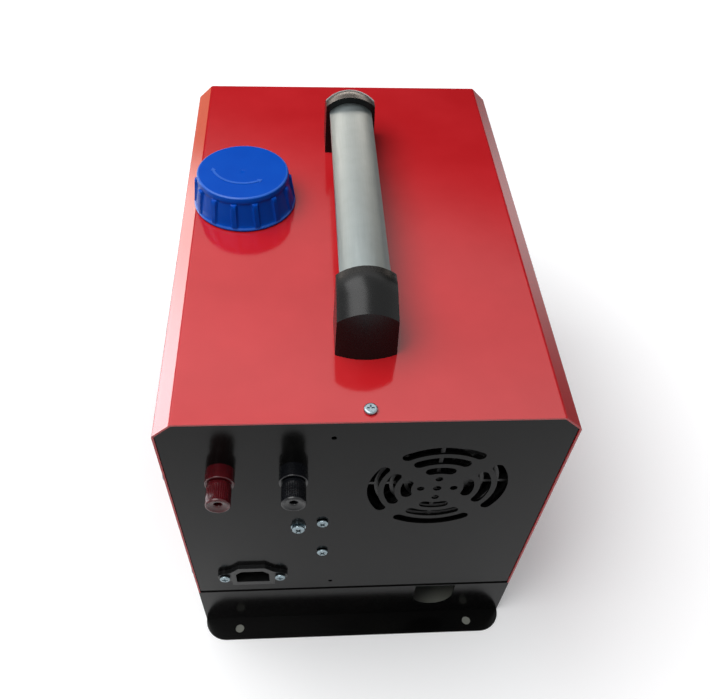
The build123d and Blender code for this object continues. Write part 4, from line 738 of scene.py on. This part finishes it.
def post_cap_mesh(place, length):
    """A fluted sleeve with a rolled rim and a dished end round its socket."""

    def fluted(radius, depth, height):
        return lambda angle: (radius - depth * (0.5 + 0.5 * math.cos(POST_FLUTES * angle)), height)

    rings = [(POST_BORE_RADIUS, POST_BORE_DEPTH), (POST_BORE_RADIUS, 0.0), (0.0066, 0.0)]
    rings += [(0.0070, 0.0002), (0.00715, 0.0007), (POST_CAP_RADIUS, 0.0012)]
    rings += [(POST_CAP_RADIUS, 0.0022), fluted(POST_CAP_RADIUS, 0.0, 0.0026)]
    for share in (0.24, 0.4, 0.6, 0.78, 0.86):
        rings.append(fluted(POST_CAP_RADIUS, POST_FLUTE_DEPTH, length * share))
    rings += [fluted(POST_CAP_RADIUS, 0.0, length - 0.0014), (0.00725, length - 0.0009)]
    rings += [(0.00705, length - 0.0004), (0.0067, length - 0.0001), (0.0063, length)]
    rings += [(0.0058, length - 0.0002), (0.0055, length - 0.0006), (0.0048, length - 0.0009)]
    rings += [(0.0036, length - 0.0011), (0.0027, length - 0.0013), (0.0022, length - 0.0018)]
    rings += [(POST_SOCKET_RADIUS, length - 0.0024), (POST_SOCKET_RADIUS, POST_BORE_DEPTH)]
    steps = POST_FLUTES * POST_STEPS_PER_FLUTE
    return lambda made: revolve(made, rings, steps, place, (0, -1, 0))


# Clear red polycarbonate: dark wine red inside, brighter where the light passes at its edges.
clear_red, tree = new_surface("clear_red_polycarbonate")
place = add_node(tree, "ShaderNodeTexCoord").outputs["Object"]
flow = add_node(
    tree, "ShaderNodeTexNoise", {"Vector": place, "Scale": 1000 / RED_FLOW_MM, "Detail": 3.0}
)
body_red = add_node(
    tree,
    "ShaderNodeMix",
    {0: flow.outputs[0], 6: linear("#3C0A0F"), 7: linear("#521016")},
    data_type="RGBA",
)
scratches = add_node(
    tree, "ShaderNodeTexNoise", {"Vector": place, "Scale": 1000 / RED_SCRATCH_MM, "Detail": 2.0}
)
fine = add_node(
    tree,
    "ShaderNodeBump",
    {"Height": scratches.outputs[0], "Distance": RED_SCRATCH_DEPTH_MM / 1000, "Strength": 1.0},
)
dull = add_node(
    tree, "ShaderNodeMapRange", {"Value": scratches.outputs[0], "To Min": 0.1, "To Max": 0.26}
)
clear = add_node(
    tree,
    "ShaderNodeBsdfPrincipled",
    {
        "Base Color": body_red.outputs[2],
        "Roughness": dull.outputs[0],
        "IOR": 1.585,
        "Specular IOR Level": 0.3,
        "Subsurface Weight": 0.3,
        "Subsurface Radius": (0.004, 0.0006, 0.0006),
        "Subsurface Scale": 1.0,
        "Normal": fine.outputs[0],
    },
)
add_node(tree, "ShaderNodeOutputMaterial", {"Surface": clear.outputs[0]})

# Black polycarbonate: blue-black and smooth.
post_black = moulded_plastic(
    "black_polycarbonate", "#08090C", "#0E1014", 0.24, 1.585, 0.5, 0.004, specular=0.3
)
# Free-cutting brass: yellow, faintly turned.
brass = bare_metal("turned_brass", "#C9A25C", "#A5803F", 0.28, 0.3, 0.003, (1, 0.1, 1))

for colour, surface, slot in (
    ("red", clear_red, "red_plastic"),
    ("black", post_black, "post_black"),
):
    x, _, z = turns_at[f"post_turn_{colour}"]
    low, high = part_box(f"post_cap_{colour}")
    shape = post_cap_mesh((x, high[1], z), high[1] - low[1])
    sleeve = new_piece(f"post_cap_{colour}_fluted", shape, surface, smooth_degrees=60)
    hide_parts(f"post_cap_{colour}")
    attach(sleeve, f"post_cap_{colour}")
    dress(surface, f"post_collar_{colour}")
dress(zinc, "post_washer_red", "post_washer_black", "post_nuts")
dress(brass, "post_studs")
dress(dark_nylon, "post_insulators")

# --- Mains inlet ---
# A three-pin mains inlet moulded in black nylon, with plated brass pins, held by two screws
# through its ears.

# Moulded nylon: charcoal black, smoother than the handle.
inlet_nylon = moulded_plastic(
    "black_nylon", "#0A0B0C", "#111212", 0.3, 1.53, 0.6, 0.008, specular=0.3
)
# Nickel-plated brass: a warm silver.
nickel = bare_metal("nickel_plated_brass", "#C9C3B4", "#AAA38F", 0.22, 0.3, 0.002, (1, 0.1, 1))
dress(inlet_nylon, "inlet_socket")
dress(nickel, "inlet_pins")

# --- Warm-air outlet ---
# A black nylon collar passes through the front panel. A ring with five tilted blades turns in
# it to aim the air.

# Heat-proof nylon: black, with a coarser moulded grain.
duct_nylon = moulded_plastic(
    "heat_proof_nylon", "#0E0E0E", "#161616", 0.42, 1.53, 0.9, 0.015, specular=0.3
)
dress(duct_nylon, "outlet_collar", "outlet_louvre")

# --- Controller ---
# A panel-mounted controller in dark ABS, with a liquid-crystal display, a fluted knob, and two
# push buttons. The display shows plain numbers for the set temperature.

# Textured ABS: charcoal, a little lighter than the panel.
charcoal_abs = moulded_plastic("charcoal_abs", "#26282A", "#2E3032", 0.42, 1.54, 0.8, 0.014)
# Knob ABS: the same plastic, smoother from handling.
knob_abs = moulded_plastic("handled_abs", "#1B1C1D", "#252627", 0.3, 1.54, 0.5, 0.006)
# Silicone-coated buttons: a soft light grey.
button_grey = moulded_plastic("grey_silicone", "#B9BBBC", "#A8AAAC", 0.48, 1.41, 0.5, 0.008)
dress(charcoal_abs, "controller_case")
dress(knob_abs, "controller_knob")
dress(button_grey, "button_power", "button_mode")

LCD_CLOUDS = 3.0  # across the window
LCD_WIPES = 14.0

# Display glass: grey-green and slightly clouded, behind a glossy window with wipe marks.
lcd_glass, tree = new_surface("liquid_crystal_glass")
place = add_node(tree, "ShaderNodeTexCoord").outputs["Generated"]
cloud = add_node(tree, "ShaderNodeTexNoise", {"Vector": place, "Scale": LCD_CLOUDS, "Detail": 2.0})
green = add_node(
    tree,
    "ShaderNodeMix",
    {0: cloud.outputs[0], 6: linear("#7E8B72"), 7: linear("#98A68A")},
    data_type="RGBA",
)
wipe = add_node(tree, "ShaderNodeTexNoise", {"Vector": place, "Scale": LCD_WIPES, "Detail": 4.0})
haze = add_node(
    tree, "ShaderNodeMapRange", {"Value": wipe.outputs[0], "To Min": 0.04, "To Max": 0.16}
)
wave = add_node(
    tree, "ShaderNodeBump", {"Height": wipe.outputs[0], "Distance": 0.00001, "Strength": 0.5}
)
glass = add_node(
    tree,
    "ShaderNodeBsdfPrincipled",
    {
        "Base Color": green.outputs[2],
        "Roughness": haze.outputs[0],
        "IOR": 1.52,
        "Normal": wave.outputs[0],
    },
)
add_node(tree, "ShaderNodeOutputMaterial", {"Surface": glass.outputs[0]})
dress(lcd_glass, "lcd_window")

low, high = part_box("lcd_window")
LCD_MIDDLE = ((low[0] + high[0]) / 2, (low[2] + high[2]) / 2)
LCD_FACE = high[1]
DIGIT_HEIGHT = 0.0150
DIGIT_WIDTH = 0.0080
DIGIT_BAR = 0.0016
DIGIT_PITCH = 0.0115
DIGIT_LEAN = 0.10
DIGIT_GAP = 0.62 * DIGIT_BAR  # between a bar's end and its corner
DIGIT_POINT = 0.7  # of the gap
DIGIT_PROUD = 0.00004
DIGIT_ROOT = 0.0001
DIGIT_BARS = {"2": "abged", "4": "fgbc"}


def digits_mesh(made):
    """The number 24 in seven-segment bars, read from the front."""
    half, mid = DIGIT_WIDTH / 2, DIGIT_HEIGHT / 2
    spans = {
        "a": ((-half, mid), (half, mid)),
        "b": ((half, mid), (half, 0)),
        "c": ((half, 0), (half, -mid)),
        "d": ((-half, -mid), (half, -mid)),
        "e": ((-half, 0), (-half, -mid)),
        "f": ((-half, mid), (-half, 0)),
        "g": ((-half, 0), (half, 0)),
    }
    for index, figure in enumerate("24"):
        shift = (index - 0.5) * DIGIT_PITCH
        for name in DIGIT_BARS[figure]:
            (x0, z0), (x1, z1) = spans[name]
            run = Vector((x1 - x0, z1 - z0)).normalized() * DIGIT_GAP
            side = Vector((-run.y, run.x)).normalized() * DIGIT_BAR / 2
            start, end = Vector((x0, z0)) + run, Vector((x1, z1)) - run
            hexagon = [start - run * DIGIT_POINT, start + side, end + side]
            hexagon += [end + run * DIGIT_POINT, end - side, start - side]
            corners = []
            for point in hexagon:
                x = LCD_MIDDLE[0] - (point.x + shift + point.y * DIGIT_LEAN)
                place = (x, LCD_FACE + DIGIT_PROUD, LCD_MIDDLE[1] + point.y)
                corners.append(made.verts.new(place))
            bar = made.faces.new(corners)
            walls = bmesh.ops.extrude_face_region(made, geom=[bar])["geom"]
            for vert in (part for part in walls if isinstance(part, bmesh.types.BMVert)):
                vert.co.y = LCD_FACE - DIGIT_ROOT


# Switched liquid crystal: dark grey-green bars.
lcd_bars = moulded_plastic("dark_liquid_crystal", "#1C221C", "#242B23", 0.3, 1.52, 0.6, 0.002)
digits = new_piece("lcd_digits", digits_mesh, lcd_bars, smooth_degrees=30)
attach(digits, "case")

# --- Mains switch ---
# A snap-in rocker switch in black nylon, with a red rocker that carries the I and O marks.

# Rocker polycarbonate: signal red, slightly glossy.
rocker_red = moulded_plastic("rocker_polycarbonate", "#A51C1C", "#B02624", 0.22, 1.585, 0.5, 0.004)
dress(inlet_nylon, "power_switch")
dress(rocker_red, "power_rocker")

ROCKER_PIN = turns_at["rocker_turn"]
UPPER_MARK = (0.00689, 0.0040)  # its middle, outwards and upwards from the rocker's pin
LOWER_MARK = (0.00533, -0.0055)
LOWER_TILT = math.radians(20)
MARK_PROUD = 0.00004
MARK_HEIGHT = 0.0042
MARK_STROKE = 0.0007
MARK_STEPS = 40


def marks_mesh(made):
    """A bar on the upper face and a ring on the lower one, as thin printed sheets."""
    pin_x, pin_y, pin_z = ROCKER_PIN
    y, z = pin_y + UPPER_MARK[0], pin_z + UPPER_MARK[1]
    half, tall = MARK_STROKE / 2, MARK_HEIGHT / 2
    corners = [(-half, -tall), (half, -tall), (half, tall), (-half, tall)]
    spots = [made.verts.new((pin_x + x, y + MARK_PROUD, z + up)) for x, up in corners]
    made.faces.new(spots)
    y, z = pin_y + LOWER_MARK[0], pin_z + LOWER_MARK[1]
    rims = []
    for radius in (tall, tall - MARK_STROKE):
        rim = []
        for step in range(MARK_STEPS):
            angle = 2 * math.pi * step / MARK_STEPS
            up = radius * math.sin(angle)
            out = MARK_PROUD + up * math.tan(LOWER_TILT)
            rim.append(made.verts.new((pin_x + radius * math.cos(angle), y + out, z + up)))
        rims.append(rim)
    outer, inner = rims
    for step in range(MARK_STEPS):
        after = (step + 1) % MARK_STEPS
        made.faces.new((outer[step], outer[after], inner[after], inner[step]))


# Pad-printing ink: flat white, worn a little grey.
white_ink = moulded_plastic("white_ink", "#E4E4E0", "#D2D2CE", 0.5, 1.5, 0.4, 0.002)
marks = new_piece("power_rocker_marks", marks_mesh, white_ink)
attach(marks, "power_rocker")

# --- Air intake guard and blower ---
# Behind the grille a moulded guard keeps fingers off the air impeller. A small painted motor
# drives that wheel and the die-cast combustion wheel on one steel shaft.

# Stove enamel on the motor: grey-black.
motor_paint = powder_coat("motor_enamel", "#2A2C2F", "#33363A", 0.34, 0.4, 2.0, 0.02)
# Die-cast aluminium: dull silver with a sandy skin.
cast_aluminium = bare_metal("die_cast_aluminium", "#A9ABAA", "#8C8E8C", 0.5, 1.4, 0.06, (1, 1, 1))
# Mild steel: a grey mill finish.
mill_steel = bare_metal("mill_steel", "#A6A8A8", "#84827E", 0.38, 0.7, 0.01, (1, 0.2, 1))
dress(duct_nylon, "intake_guard", "air_impeller", "core_lower_shell", "core_upper_shell")
dress(motor_paint, "blower_motor")
dress(mill_steel, "rotor_shaft")
dress(cast_aluminium, "combustion_impeller")

# --- Heat exchanger and burner ---
# The finned die casting carries the warm air. The stainless burner tube sits inside it with a
# glow plug, and the control unit lies on top, under the upper shell.

dress(cast_aluminium, "heat_exchanger")
dress(mill_steel, "burner_tube", "heater_stand", "exhaust_pipe")
dress(zinc, "glow_plug", "pipe_clamps", "psu_bracket")
dress(dark_nylon, "control_unit", "air_intake_pipe")

# --- Fuel pump, filter and lines ---
# Diesel runs from the tank's nipple through a clear filter and a pulsing pump to the burner,
# in rubber hoses and a stiff nylon line.

# Natural nylon tube: honey-coloured and waxy.
line_nylon = moulded_plastic("natural_nylon_line", "#CBBE9A", "#BFB08A", 0.34, 1.53, 0.6, 0.006)
# Filter bowl: clear plastic that has yellowed a little.
filter_clear = moulded_plastic("yellowed_san", "#C9C6A8", "#BDB992", 0.16, 1.57, 0.8, 0.006)
dress(filter_clear, "fuel_filter")
dress(mill_steel, "fuel_pump")
dress(rubber, "pump_clamp", "tank_hose", "filter_hose")
dress(line_nylon, "fuel_line")

# --- Power supply and leads ---
# The mains supply is a slotted aluminium box. Insulated leads join it to the inlet, the
# switch, the posts and the heater.

# Rolled aluminium: pale, with fine rolling lines.
rolled_aluminium = bare_metal(
    "rolled_aluminium", "#B9BCBD", "#9FA2A3", 0.4, 0.5, 0.006, (0.03, 1, 1)
)
# Silicone insulation: brick red and slightly matt.
insulation = moulded_plastic("lead_insulation", "#8C1F1A", "#7A1814", 0.44, 1.43, 0.5, 0.006)
dress(rolled_aluminium, "power_supply")
dress(insulation, "ac_leads", "dc_leads")
